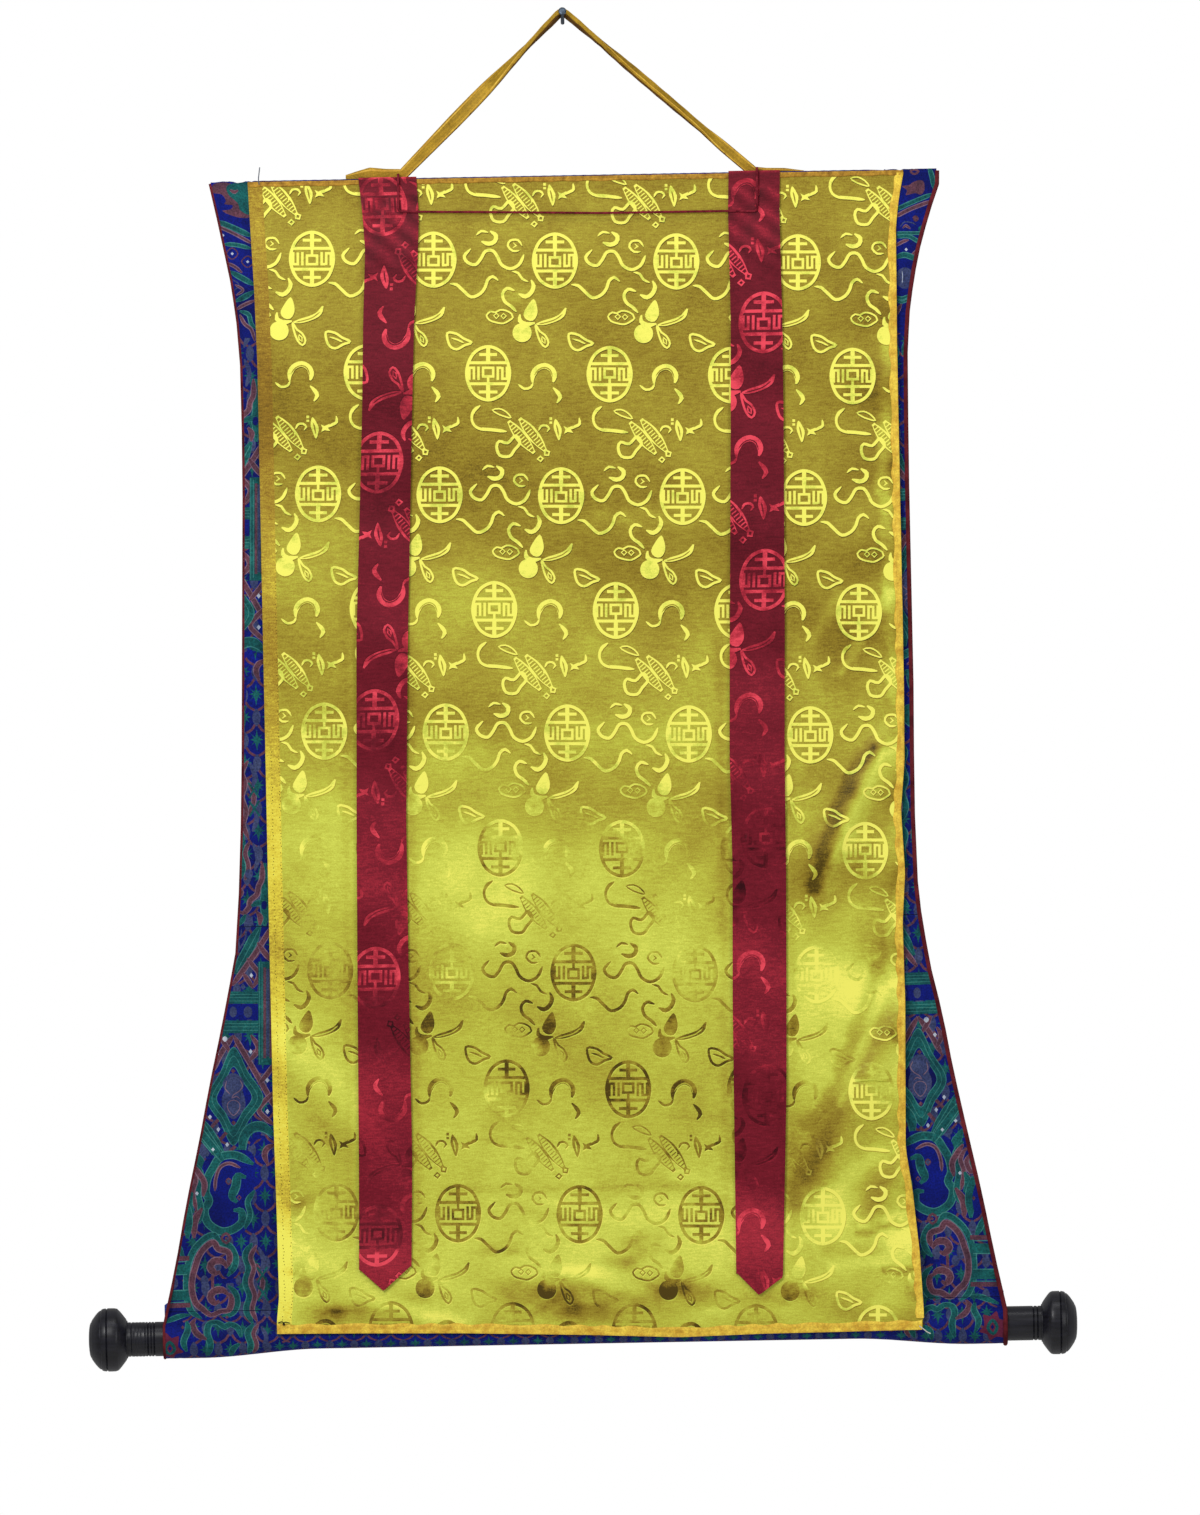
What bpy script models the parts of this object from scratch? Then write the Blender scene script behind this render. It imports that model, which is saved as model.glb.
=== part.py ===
"""Thangka scroll painting hanging from a wall nail, with its silk veil let down.

Frame: metres, +Z up. The origin is where the nail enters the wall. The wall
is the plane y = 0, everything hangs in front of it at y < 0, and the veil's
face looks along -Y. Lengths below are in millimetres until the last step.
"""

import math

import bmesh
import bpy
import numpy as np
from mathutils import Vector

MM = 0.001

# Hanging height and depth
Z_TOP = -139.95
Z_SEAM = -1154.0
Y_TOP = -9.8
Y_SEAM = -30.0
Z_ROD = -1179.0
Y_ROD = -30.0

# Cloth
MOUNT_THICK = 2.0
SILK_THICK = 1.2
STRAP_FLAT_HALF = 1.2
GAP = 0.3
EDGE_GAP = 0.8
HEM_MID_RADIUS = 1.15
HEM_DEPTH = 22.0
SEAM_ALLOWANCE = 7.0
PIPING_LEFT_RADIUS = 1.3
PIPING_RIGHT_RADIUS = 2.1
CORD_RADIUS = 1.1

# Rod and knobs
ROD_RADIUS = 9.0
TENON_RADIUS = 6.0
TENON_LENGTH = 20.0
SOCKET_DEPTH = 22.0
NECK_RADIUS = 15.5
NECK_IN_LEFT = -355.0
NECK_IN_RIGHT = 352.0
SHOULDER_LEFT = -412.7
SHOULDER_RIGHT = 409.2
KNOB_LENGTH_LEFT = 35.1
KNOB_LENGTH_RIGHT = 32.4

# Nail
NAIL_TILT = math.radians(19.0)
NAIL_RADIUS = 1.7
NAIL_LENGTH = 28.5
NAIL_HEAD_RADIUS = 3.6
NAIL_HEAD_THICK = 1.8
STRAP_AT = 11.0
STRAP_CLEAR = 0.5

# Outlines as (z, x) pairs, from top to bottom
MOUNT_LEFT = [(-138, -322), (-168, -315.5), (-198, -309.5), (-228, -303.7),
              (-262, -299), (-310, -295.8), (-400, -295.6), (-590, -299.6),
              (-700, -302), (-780, -305.8), (-835, -310), (-900, -323.5),
              (-950, -335), (-1000, -345), (-1060, -358.5), (-1110, -368),
              (-1150, -377), (-1175, -380.8), (-1198, -380.8)]
MOUNT_RIGHT = [(-138, 337), (-152, 336.6), (-176, 328), (-205, 319.3),
               (-236, 312.5), (-268, 307.8), (-304, 305.5), (-400, 304.5),
               (-600, 305.2), (-700, 304), (-770, 304.8), (-815, 309),
               (-860, 316.6), (-900, 325.9), (-950, 334.5), (-1000, 345),
               (-1060, 358), (-1110, 367.3), (-1155, 376.3), (-1175, 378.7),
               (-1198, 378.4)]
VEIL_LEFT = [(-138, -286.5), (-178, -284.8), (-238, -282.1), (-305, -280.4),
             (-587, -279.7), (-807, -279), (-976, -278.2), (-1074, -276.6),
             (-1143, -275.7), (-1164, -277.9), (-1186, -278.1)]
VEIL_RIGHT = [(-138, 304.4), (-164, 299.2), (-190, 296), (-300, 295),
              (-597, 295.5), (-671, 294.7), (-715, 290.7), (-772, 293.3),
              (-818, 290.3), (-884, 291.3), (-1020, 289.2), (-1057, 294.7),
              (-1112, 299.9), (-1168, 302.7), (-1186, 302)]
VEIL_BOTTOM = [(-280, -1175), (-200, -1176), (-112, -1177.5), (0, -1181),
               (84, -1184.6), (160, -1182.8), (230, -1182.4), (304, -1181.6)]
RIBBON_LEFT_EDGES = (
    [(-138, -186.6), (-168, -183.5), (-203, -181.5), (-266, -184.4),
     (-348, -186.8), (-552, -195.6), (-714, -198.4), (-866, -200.3),
     (-1018, -201.8), (-1120, -203.4)],
    [(-138, -134.3), (-169, -132.6), (-204, -133.8), (-267, -138.5),
     (-349, -141.8), (-553, -149.2), (-715, -153.7), (-867, -154),
     (-1019, -153.8), (-1120, -156.2)])
RIBBON_LEFT_END = [(0.0, -1119.0), (0.46, -1139.0), (1.0, -1116.5)]
RIBBON_RIGHT_EDGES = (
    [(-138, 147), (-172, 145.9), (-269, 146.5), (-359, 144.9), (-558, 140.3),
     (-662, 138.2), (-765, 139), (-882, 136.9), (-971, 136.4),
     (-1077, 135.9), (-1131, 135.5)],
    [(-138, 193.3), (-173, 192.2), (-270, 193), (-359, 192.5),
     (-559, 189.9), (-663, 187.8), (-766, 187.2), (-883, 185.4),
     (-971, 183.7), (-1077, 179.7), (-1131, 177.5)])
RIBBON_RIGHT_END = [(0.0, -1128.0), (0.48, -1149.0), (1.0, -1133.0)]

# The strap's two tails and feet as (x, z, half width)
STRAP_LEFT_TAIL = [(-198, -137.0, 3.0), (-190, -137.0, 5.5),
                   (-176, -136.0, 8.5), (-162, -136.0, 7.0)]
STRAP_LEFT_FOOT = (-146.5, -134.5, 5.0)
STRAP_RIGHT_FOOT = (169.5, -138.0, 5.0)
STRAP_RIGHT_TAIL = [(181, -139.6, 5.2), (198, -140.0, 5.2), (215, -139.2, 1.8)]
STRAP_TAIL_Y = -3.3

# Heights at which the panel and the piping along its sides both have points
PANEL_ROWS = np.concatenate([np.linspace(-152, -304, 9)[:-1],
                             np.linspace(-304, -780, 9)[:-1],
                             np.linspace(-780, Z_SEAM, 15)])


for old in list(bpy.data.objects):
    bpy.data.objects.remove(old, do_unlink=True)

PART = bpy.data.collections.new("thangka_scroll_painting")
bpy.context.scene.collection.children.link(PART)
CUTTERS = bpy.data.collections.new("cutters")
bpy.context.scene.collection.children.link(CUTTERS)


def smoothstep(a, b, v):
    t = np.clip((v - a) / (b - a), 0.0, 1.0)
    return t * t * (3.0 - 2.0 * t)


def table(pairs, v):
    """Linear value of a table whose first entries fall or rise steadily."""
    pairs = sorted(pairs)
    return np.interp(v, [p[0] for p in pairs], [p[1] for p in pairs])


def panel_y(x, z):
    """Middle of the brocade panel: flat, leaning out from hem to rod."""
    share = (Z_TOP - z) / (Z_TOP - Z_SEAM)
    still = smoothstep(-180.0, -300.0, z) * (1.0 - smoothstep(-1000.0, -1130.0, z))
    wave = 0.8 * np.sin(z / 43.0 + x / 120.0) * still
    return Y_TOP + (Y_SEAM - Y_TOP) * share + wave


def sleeve_radius(x):
    """Inner radius of the rod sleeve, wider where it is pulled over the knob necks."""
    ends = smoothstep(240.0, 345.0, np.abs(x))
    return (ROD_RADIUS + GAP) + (NECK_RADIUS - ROD_RADIUS) * ends + 0.15


def crease(x, z, start, end, width, height):
    """A soft ridge along a straight line, fading at both ends."""
    ax, az = start
    bx, bz = end
    dx, dz = bx - ax, bz - az
    long = math.hypot(dx, dz)
    along = ((x - ax) * dx + (z - az) * dz) / long
    across = ((x - ax) * dz - (z - az) * dx) / long
    ends = smoothstep(-0.15 * long, 0.25 * long, along)
    ends = ends * (1.0 - smoothstep(0.75 * long, 1.15 * long, along))
    return height * ends * np.exp(-((across / width) ** 2))


def veil_y(x, z):
    """Middle of the veil: close at the hem, loose folds below, out over the rod."""
    loose = GAP + 2.0 * smoothstep(-150.0, -230.0, z)
    folds = 0.9 * (1.0 + np.sin(z / 37.0 + x / 90.0))
    folds = folds + crease(x, z, (292, -640), (204, -785), 15.0, 4.0)
    folds = folds + crease(x, z, (300, -880), (190, -1105), 20.0, 3.5)
    folds = folds + crease(x, z, (310, -985), (255, -1085), 14.0, 2.5)
    folds = folds + crease(x, z, (-290, -905), (-190, -1010), 24.0, 2.0)
    edge = np.exp(-np.clip(table(VEIL_RIGHT, z) - x, 0.0, 400.0) / 26.0)
    folds = folds + 3.0 * edge * np.sin(z / 23.0) ** 2
    folds = folds * smoothstep(-170.0, -320.0, z)
    hung = panel_y(x, z) - MOUNT_THICK / 2 - loose - folds - SILK_THICK / 2
    over_rod = Y_ROD - sleeve_radius(x) - MOUNT_THICK - 2.6 - 0.3 * folds
    share = smoothstep(-1050.0, -1166.0, z)
    return hung + (np.minimum(over_rod, hung) - hung) * share


def ribbon_y(x, z):
    gap = GAP + 1.3 * smoothstep(-150.0, -215.0, z)
    return veil_y(x, z) - SILK_THICK - gap


def material(name, color, roughness=0.6, metallic=0.0):
    mat = bpy.data.materials.new(name)
    mat.use_nodes = True
    shader = mat.node_tree.nodes["Principled BSDF"]
    shader.inputs["Base Color"].default_value = (*color, 1.0)
    shader.inputs["Roughness"].default_value = roughness
    shader.inputs["Metallic"].default_value = metallic
    return mat


MATERIALS = {
    "brocade": material("brocade_blue", (0.02, 0.05, 0.33), 0.55),
    "piping": material("piping_maroon", (0.15, 0.025, 0.03), 0.7),
    "veil_silk": material("veil_silk_yellow", (0.45, 0.38, 0.03), 0.4),
    "ribbon_silk": material("ribbon_silk_crimson", (0.23, 0.01, 0.02), 0.4),
    "strap_silk": material("strap_silk_gold", (0.55, 0.33, 0.04), 0.5),
    "cord": material("cord_maroon", (0.12, 0.01, 0.02), 0.8),
    "dark_wood": material("dark_wood", (0.025, 0.02, 0.018), 0.45),
    "bare_wood": material("bare_wood", (0.38, 0.24, 0.12), 0.6),
    "nail_steel": material("nail_steel", (0.16, 0.19, 0.22), 0.35, 1.0),
}


def add(name, mesh_or_curve, slot, collection=None):
    obj = bpy.data.objects.new(name, mesh_or_curve)
    (collection or PART).objects.link(obj)
    obj.data.materials.append(MATERIALS[slot])
    return obj


def sheet(name, rows, thickness, slot):
    """A cloth piece: a grid of mid-surface points given thickness on both sides."""
    rows = np.asarray(rows, float)
    count, across, _ = rows.shape
    verts = [tuple(p * MM) for p in rows.reshape(-1, 3)]
    faces = []
    for i in range(count - 1):
        for j in range(across - 1):
            a = i * across + j
            faces.append((a, a + 1, a + across + 1, a + across))
    mesh = bpy.data.meshes.new(name)
    mesh.from_pydata(verts, [], faces)
    obj = add(name, mesh, slot)
    solid = obj.modifiers.new("cloth thickness", "SOLIDIFY")
    solid.thickness = thickness * MM
    solid.offset = 0.0
    solid.use_even_offset = True
    return obj


def arc(centre, radius, start, end, steps):
    """Points (y, z) on an arc, angles in degrees from +y towards +z."""
    angles = np.radians(np.linspace(start, end, steps + 1))
    return [(centre[0] + radius * math.cos(a), centre[1] + radius * math.sin(a))
            for a in angles]


def mount_rows():
    """Rows of the brocade sheet: back of the top hem, fold, panel, rod sleeve."""
    inner_left = [(z, x + 2 * PIPING_LEFT_RADIUS + EDGE_GAP) for z, x in MOUNT_LEFT]
    inner_right = [(z, x - 2 * PIPING_RIGHT_RADIUS - EDGE_GAP) for z, x in MOUNT_RIGHT]
    sleeve_x = [-378, -353, -326, -300, -270, -240, -160, -80, 0, 80, 160, 240,
                268, 296, 322, 348, 374]
    shares = (np.array(sleeve_x, float) + 378.0) / 752.0

    def spread(z_for_width):
        left = table(inner_left, z_for_width)
        right = table(inner_right, z_for_width)
        return left + shares * (right - left)

    rows = []
    back_y = Y_TOP + 2 * HEM_MID_RADIUS
    for z in (Z_TOP - HEM_DEPTH, Z_TOP - HEM_DEPTH / 2, Z_TOP - 3.0):
        xs = spread(z)
        lean = (Y_SEAM - Y_TOP) * (Z_TOP - z) / (Z_TOP - Z_SEAM)
        rows.append([(x, back_y + lean, z) for x in xs])
    for y, z in arc((Y_TOP + HEM_MID_RADIUS, Z_TOP), HEM_MID_RADIUS, 0, 180, 6):
        rows.append([(x, y, z) for x in spread(Z_TOP)])
    for z in PANEL_ROWS:
        xs = spread(z)
        rows.append([(x, float(panel_y(x, z)), z) for x in xs])
    for kind, k in ([("front", 0.5)] + [("arc", k / 20) for k in range(21)]
                    + [("back", 0.5), ("seam", 0.0), ("seam", 0.5), ("seam", 1.0)]):
        row = []
        for share, x0 in zip(shares, sleeve_x):
            radius = float(sleeve_radius(x0)) + MOUNT_THICK / 2
            drop = Z_SEAM - Z_ROD
            half = math.degrees(math.asin(radius / drop))
            first, last = 180.0 - half, 360.0 + half
            start = arc((Y_ROD, Z_ROD), radius, first, first, 0)[0]
            stop = arc((Y_ROD, Z_ROD), radius, last, last, 0)[0]
            seam_y = Y_SEAM + MOUNT_THICK + GAP
            if kind == "front":
                y = Y_SEAM + (start[0] - Y_SEAM) * k
                z = Z_SEAM + (start[1] - Z_SEAM) * k
            elif kind == "arc":
                y, z = arc((Y_ROD, Z_ROD), radius, first + (last - first) * k,
                           first + (last - first) * k, 0)[0]
            elif kind == "back":
                y = stop[0] + (seam_y - stop[0]) * k
                z = stop[1] + (Z_SEAM - stop[1]) * k
            else:
                z = Z_SEAM + SEAM_ALLOWANCE * k
                y = float(panel_y(x0, z)) + MOUNT_THICK + GAP
            left = table(inner_left, z)
            right = table(inner_right, z)
            row.append((left + share * (right - left), y, z))
        rows.append(row)
    return rows


def veil_rows():
    shares = np.linspace(0.0, 1.0, 25)
    depths = np.concatenate([np.linspace(0, 0.12, 6)[:-1],
                             np.linspace(0.12, 0.86, 23)[:-1],
                             np.linspace(0.86, 1.0, 8)])
    top = Z_TOP + 0.75
    rows = []
    for v in depths:
        row = []
        for u in shares:
            z = top + (-1180.0 - top) * v
            for _ in range(2):
                left, right = table(VEIL_LEFT, z), table(VEIL_RIGHT, z)
                x = left + u * (right - left)
                z = top + (table(VEIL_BOTTOM, x) - top) * v
            row.append((x, float(veil_y(x, z)), z))
        rows.append(row)
    return rows


def ribbon_rows(edges, end):
    """Rows from the flap behind the hem, over the top edge and down the front."""
    shares = np.linspace(0.0, 1.0, 7)
    front = float(ribbon_y(0.0, -138.5))
    back = Y_TOP + 2 * HEM_MID_RADIUS + MOUNT_THICK / 2 + GAP + SILK_THICK / 2
    crown = Z_TOP + HEM_MID_RADIUS + MOUNT_THICK / 2 + GAP + SILK_THICK / 2
    turn = 1.6
    over = [(back, -152.0), (back, -145.0)]
    over += arc((back - turn, crown - turn), turn, 0, 90, 4)
    over += arc((front + turn, crown - turn), turn, 90, 180, 4)
    rows = []
    for y, z in over:
        left, right = table(edges[0], -138.0), table(edges[1], -138.0)
        rows.append([(left + u * (right - left), y, z) for u in shares])
    low = max(edges[0][-1][0], edges[1][-1][0])
    down = np.concatenate([np.linspace(-146, -330, 10)[:-1],
                           np.linspace(-330, -1050, 26)[:-1],
                           np.linspace(-1050, -1125, 5)])
    for z in down:
        part = float(smoothstep(-1050.0, -1125.0, z))
        row = []
        for u in shares:
            zz = z + (table(end, u) - z) * part
            at = max(zz, low)
            left, right = table(edges[0], at), table(edges[1], at)
            x = left + u * (right - left)
            row.append((x, float(ribbon_y(x, zz)), zz))
        rows.append(row)
    return rows


def rounded(points, radius, steps=4):
    """The same polyline with its corners rounded."""
    points = [Vector(p) for p in points]
    out = [points[0]]
    for a, b, c in zip(points, points[1:], points[2:]):
        reach = min(radius, (a - b).length * 0.45, (c - b).length * 0.45)
        p = b + (a - b).normalized() * reach
        q = b + (c - b).normalized() * reach
        for k in range(steps + 1):
            t = k / steps
            out.append(p * (1 - t) ** 2 + b * (2 * t * (1 - t)) + q * t * t)
    out.append(points[-1])
    return out


def tube(name, points, radius, slot):
    curve = bpy.data.curves.new(name, "CURVE")
    curve.dimensions = "3D"
    curve.bevel_depth = radius * MM
    curve.bevel_resolution = 2
    curve.use_fill_caps = True
    spline = curve.splines.new("POLY")
    spline.points.add(len(points) - 1)
    for point, p in zip(spline.points, points):
        point.co = (p[0] * MM, p[1] * MM, p[2] * MM, 1.0)
    return add(name, curve, slot)


def piping_points(edge, radius, side):
    """Along a side edge of the panel, then round the front of the sleeve's end."""
    points = []
    for z in [Z_TOP, *PANEL_ROWS[:-1]]:
        x = table(edge, z) - side * radius
        points.append((x, float(panel_y(x, z)), z))
    ring = NECK_RADIUS + GAP + 0.2 + radius
    x_end = table(edge, -1175.0) - side * radius
    half = math.degrees(math.asin(ring / (Z_SEAM - Z_ROD)))
    for y, z in arc((Y_ROD, Z_ROD), ring, 180 - half, 330, 14):
        points.append((x_end, y, z))
    return points


def strap_rings():
    """Rings of the strap from its left tail, up over the nail, to its right tail."""
    axis = Vector((0, -math.cos(NAIL_TILT), math.sin(NAIL_TILT)))
    up = Vector((0, math.sin(NAIL_TILT), math.cos(NAIL_TILT)))
    centre = axis * STRAP_AT
    thick_at_nail = 2.9
    over = NAIL_RADIUS + STRAP_CLEAR + thick_at_nail
    stations = [(Vector((x, STRAP_TAIL_Y, z)), half, 1.2, 0.0)
                for x, z, half in STRAP_LEFT_TAIL]
    left = Vector((STRAP_LEFT_FOOT[0], STRAP_TAIL_Y, STRAP_LEFT_FOOT[1]))
    right = Vector((STRAP_RIGHT_FOOT[0], STRAP_TAIL_Y, STRAP_RIGHT_FOOT[1]))
    turn = [centre + up * over * math.cos(a) + Vector((over * math.sin(a), 0, 0))
            for a in np.radians([-46, -30, -15, 0, 15, 30, 46])]
    for k in range(15):
        t = k / 15
        point = left.lerp(turn[0], t)
        out = float(smoothstep(0.08, 1.0, t))
        point.y = STRAP_TAIL_Y + (turn[0].y - STRAP_TAIL_Y) * out
        half = 5.0 + 1.5 * min(1.0, 3 * t) - 1.0 * float(smoothstep(0.5, 1.0, t))
        thick = 1.2 + 1.7 * float(smoothstep(0.25, 1.0, t))
        twist = 109.0 * float(smoothstep(0.35, 1.0, t))
        stations.append((point, half, thick, twist))
    stations += [(p, 5.5, thick_at_nail, 109.0) for p in turn]
    for k in range(1, 16):
        t = k / 15
        point = turn[-1].lerp(right, t)
        out = 1.0 - float(smoothstep(0.0, 0.92, t))
        point.y = STRAP_TAIL_Y + (turn[0].y - STRAP_TAIL_Y) * out
        thick = 1.2 + 1.7 * (1.0 - float(smoothstep(0.55, 0.92, t)))
        twist = 109.0 - 54.0 * float(smoothstep(0.0, 0.4, t))
        twist = twist * (1.0 - float(smoothstep(0.70, 0.90, t)))
        stations.append((point, 5.5 - 0.5 * t, thick, twist))
    stations += [(Vector((x, STRAP_TAIL_Y, z)), half, 1.2, 0.0)
                 for x, z, half in STRAP_RIGHT_TAIL]
    rings = []
    for i, (point, half, thick, twist) in enumerate(stations):
        before = stations[max(i - 1, 0)][0]
        after = stations[min(i + 1, len(stations) - 1)][0]
        along = (after - before).normalized()
        facing = Vector((0, -1, 0))
        facing = (facing - along * facing.dot(along)).normalized()
        side = along.cross(facing)
        angle = math.radians(twist)
        width = side * math.cos(angle) + facing * math.sin(angle)
        depth = facing * math.cos(angle) - side * math.sin(angle)
        ring = []
        for k in range(12):
            a = math.tau * k / 12
            u = math.copysign(abs(math.cos(a)) ** 0.6, math.cos(a))
            v = math.copysign(abs(math.sin(a)) ** 0.6, math.sin(a))
            ring.append(tuple(point + width * (half * u) + depth * (thick * v)))
        rings.append(ring)
    return rings


def loft(name, rings, slot):
    """A solid through rings of equal count, closed at both ends."""
    bm = bmesh.new()
    loops = [[bm.verts.new([c * MM for c in p]) for p in ring] for ring in rings]
    for a, b in zip(loops, loops[1:]):
        for k in range(len(a)):
            n = (k + 1) % len(a)
            bm.faces.new((a[k], a[n], b[n], b[k]))
    bm.faces.new(list(reversed(loops[0])))
    bm.faces.new(loops[-1])
    bmesh.ops.recalc_face_normals(bm, faces=bm.faces)
    mesh = bpy.data.meshes.new(name)
    bm.to_mesh(mesh)
    bm.free()
    return add(name, mesh, slot)


def cord_points():
    """The tie cord: from the left strap foot, down, across and up to the right foot."""
    crown = (Z_TOP + HEM_MID_RADIUS + MOUNT_THICK / 2 + GAP + SILK_THICK
             + GAP + CORD_RADIUS)
    front = float(ribbon_y(0.0, -140.0)) - SILK_THICK / 2 - GAP - CORD_RADIUS - 0.2
    low = float(ribbon_y(0.0, -170.0)) - SILK_THICK / 2 - GAP - CORD_RADIUS - 0.4
    end = STRAP_TAIL_Y - STRAP_FLAT_HALF - GAP
    return rounded([(-150.6, end, crown), (-150.6, front, crown),
                    (-151.0, low, -168.2), (-131, low, -168.9),
                    (-77, low, -170.1), (31, low, -173.0), (146, low, -173.2),
                    (172.0, low, -173.8), (172.6, front, crown),
                    (172.6, end, crown)], 3.5)


def turned(name, profile, slot, segments=40):
    """A turned piece: (distance along the axis, radius) points, spun about X."""
    mesh = bpy.data.meshes.new(name)
    mesh.from_pydata([(r * MM, 0.0, s * MM) for s, r in reversed(profile)],
                     [(i, i + 1) for i in range(len(profile) - 1)], [])
    obj = add(name, mesh, slot)
    spin = obj.modifiers.new("turned", "SCREW")
    spin.axis = "Z"
    spin.angle = math.tau
    spin.screw_offset = 0.0
    spin.steps = segments
    spin.render_steps = segments
    spin.use_merge_vertices = True
    spin.merge_threshold = 0.00001
    return obj


def knob_profile(inner, shoulder, length):
    """Socket, neck and knob, as distances from the neck's inner end."""
    neck = shoulder - inner
    body = [(0.0, NECK_RADIUS), (0.6, 18.6), (1.6, 21.4), (3.4, 24.4),
            (5.8, 26.9), (8.4, 28.3), (11.0, 28.5), (12.0, 27.7), (13.0, 28.5),
            (18.5, 28.4), (21.4, 27.4), (24.4, 25.0), (27.0, 21.8),
            (29.6, 18.0), (31.2, 15.2), (32.0, 12.0), (32.4, 0.0)]
    body = [(s * length / 32.4, r) for s, r in body]
    socket = TENON_RADIUS + GAP
    start = [(SOCKET_DEPTH, 0.0), (SOCKET_DEPTH, socket), (0.0, socket),
             (0.0, NECK_RADIUS - 0.8), (0.8, NECK_RADIUS)]
    rings = []
    for s in (neck - 7.0, neck - 4.0):
        rings += [(s - 0.7, NECK_RADIUS), (s, NECK_RADIUS - 0.6),
                  (s + 0.7, NECK_RADIUS)]
    return start + rings + [(neck + s, r) for s, r in body]


def build():
    sheet("brocade_mount", mount_rows(), MOUNT_THICK, "brocade")
    sheet("veil", veil_rows(), SILK_THICK, "veil_silk")
    sheet("ribbon_left", ribbon_rows(RIBBON_LEFT_EDGES, RIBBON_LEFT_END),
          SILK_THICK, "ribbon_silk")
    sheet("ribbon_right", ribbon_rows(RIBBON_RIGHT_EDGES, RIBBON_RIGHT_END),
          SILK_THICK, "ribbon_silk")
    loft("hanging_strap", strap_rings(), "strap_silk")
    tube("edge_piping_left", piping_points(MOUNT_LEFT, PIPING_LEFT_RADIUS, -1),
         PIPING_LEFT_RADIUS, "piping")
    tube("edge_piping_right", piping_points(MOUNT_RIGHT, PIPING_RIGHT_RADIUS, 1),
         PIPING_RIGHT_RADIUS, "piping")
    tube("tie_cord", cord_points(), CORD_RADIUS, "cord")

    rod_from, rod_to = NECK_IN_LEFT + GAP, NECK_IN_RIGHT - GAP
    rod = turned("bottom_rod", [(rod_from - TENON_LENGTH, 0.0),
                                (rod_from - TENON_LENGTH, TENON_RADIUS),
                                (rod_from, TENON_RADIUS), (rod_from, ROD_RADIUS),
                                (rod_to, ROD_RADIUS), (rod_to, TENON_RADIUS),
                                (rod_to + TENON_LENGTH, TENON_RADIUS),
                                (rod_to + TENON_LENGTH, 0.0)], "bare_wood", 32)
    rod.rotation_euler = (0.0, math.pi / 2, 0.0)
    rod.location = (0.0, Y_ROD * MM, Z_ROD * MM)

    left = turned("knob_left", knob_profile(0.0, NECK_IN_LEFT - SHOULDER_LEFT,
                                            KNOB_LENGTH_LEFT), "dark_wood")
    left.rotation_euler = (0.0, -math.pi / 2, 0.0)
    left.location = (NECK_IN_LEFT * MM, Y_ROD * MM, Z_ROD * MM)
    right = turned("knob_right", knob_profile(0.0, SHOULDER_RIGHT - NECK_IN_RIGHT,
                                              KNOB_LENGTH_RIGHT), "dark_wood")
    right.rotation_euler = (0.0, math.pi / 2, 0.0)
    right.location = (NECK_IN_RIGHT * MM, Y_ROD * MM, Z_ROD * MM)

    nail = turned("wall_nail", [(-6.0, 0.0), (-6.0, NAIL_RADIUS),
                                (NAIL_LENGTH - NAIL_HEAD_THICK, NAIL_RADIUS),
                                (NAIL_LENGTH - NAIL_HEAD_THICK, NAIL_HEAD_RADIUS),
                                (NAIL_LENGTH - 0.5, NAIL_HEAD_RADIUS),
                                (NAIL_LENGTH, NAIL_HEAD_RADIUS - 0.8),
                                (NAIL_LENGTH + 0.2, 0.0)], "nail_steel", 32)
    nail.rotation_euler = (math.pi / 2 - NAIL_TILT, 0.0, 0.0)

    wall = bpy.data.meshes.new("wall_cutter")
    bm = bmesh.new()
    bmesh.ops.create_cube(bm, size=0.04)
    bm.to_mesh(wall)
    bm.free()
    cutter = bpy.data.objects.new("wall_cutter", wall)
    CUTTERS.objects.link(cutter)
    cutter.location = (0.0, 0.02, 0.0)
    cutter.hide_render = True
    cutter.display_type = "WIRE"
    cut = nail.modifiers.new("flush with the wall", "BOOLEAN")
    cut.operation = "DIFFERENCE"
    cut.solver = "EXACT"
    cut.object = cutter


build()
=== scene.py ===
"""Thangka scroll painting on a wall nail, with its silk veil let down.

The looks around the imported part. Lengths are in millimetres until a mesh is
made; +Z is up, the wall is the plane y = 0 and the veil faces -Y. The numbers
and the fold functions of the first part repeat those of the part's source.
"""

import math

import bmesh
import bpy
import numpy as np
from mathutils import Matrix, Vector
from mathutils.geometry import delaunay_2d_cdt


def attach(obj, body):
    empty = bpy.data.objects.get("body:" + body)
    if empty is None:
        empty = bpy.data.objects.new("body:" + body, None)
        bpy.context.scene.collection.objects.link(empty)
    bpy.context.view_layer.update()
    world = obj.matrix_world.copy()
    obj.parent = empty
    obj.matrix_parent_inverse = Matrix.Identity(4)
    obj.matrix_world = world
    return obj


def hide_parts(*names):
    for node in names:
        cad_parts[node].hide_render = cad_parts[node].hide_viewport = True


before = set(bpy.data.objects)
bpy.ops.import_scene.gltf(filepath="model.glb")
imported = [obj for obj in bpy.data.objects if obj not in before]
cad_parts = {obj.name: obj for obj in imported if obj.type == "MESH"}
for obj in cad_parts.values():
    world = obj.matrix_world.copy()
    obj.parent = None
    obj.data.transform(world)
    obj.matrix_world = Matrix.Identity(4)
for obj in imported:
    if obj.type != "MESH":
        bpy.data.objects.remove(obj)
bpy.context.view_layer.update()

MM = 0.001
PHOTO_MM = 0.9

# Hanging height and depth
Z_TOP = -139.95
Z_SEAM = -1154.0
Y_TOP = -9.8
Y_SEAM = -30.0
Z_ROD = -1179.0
Y_ROD = -30.0

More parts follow.
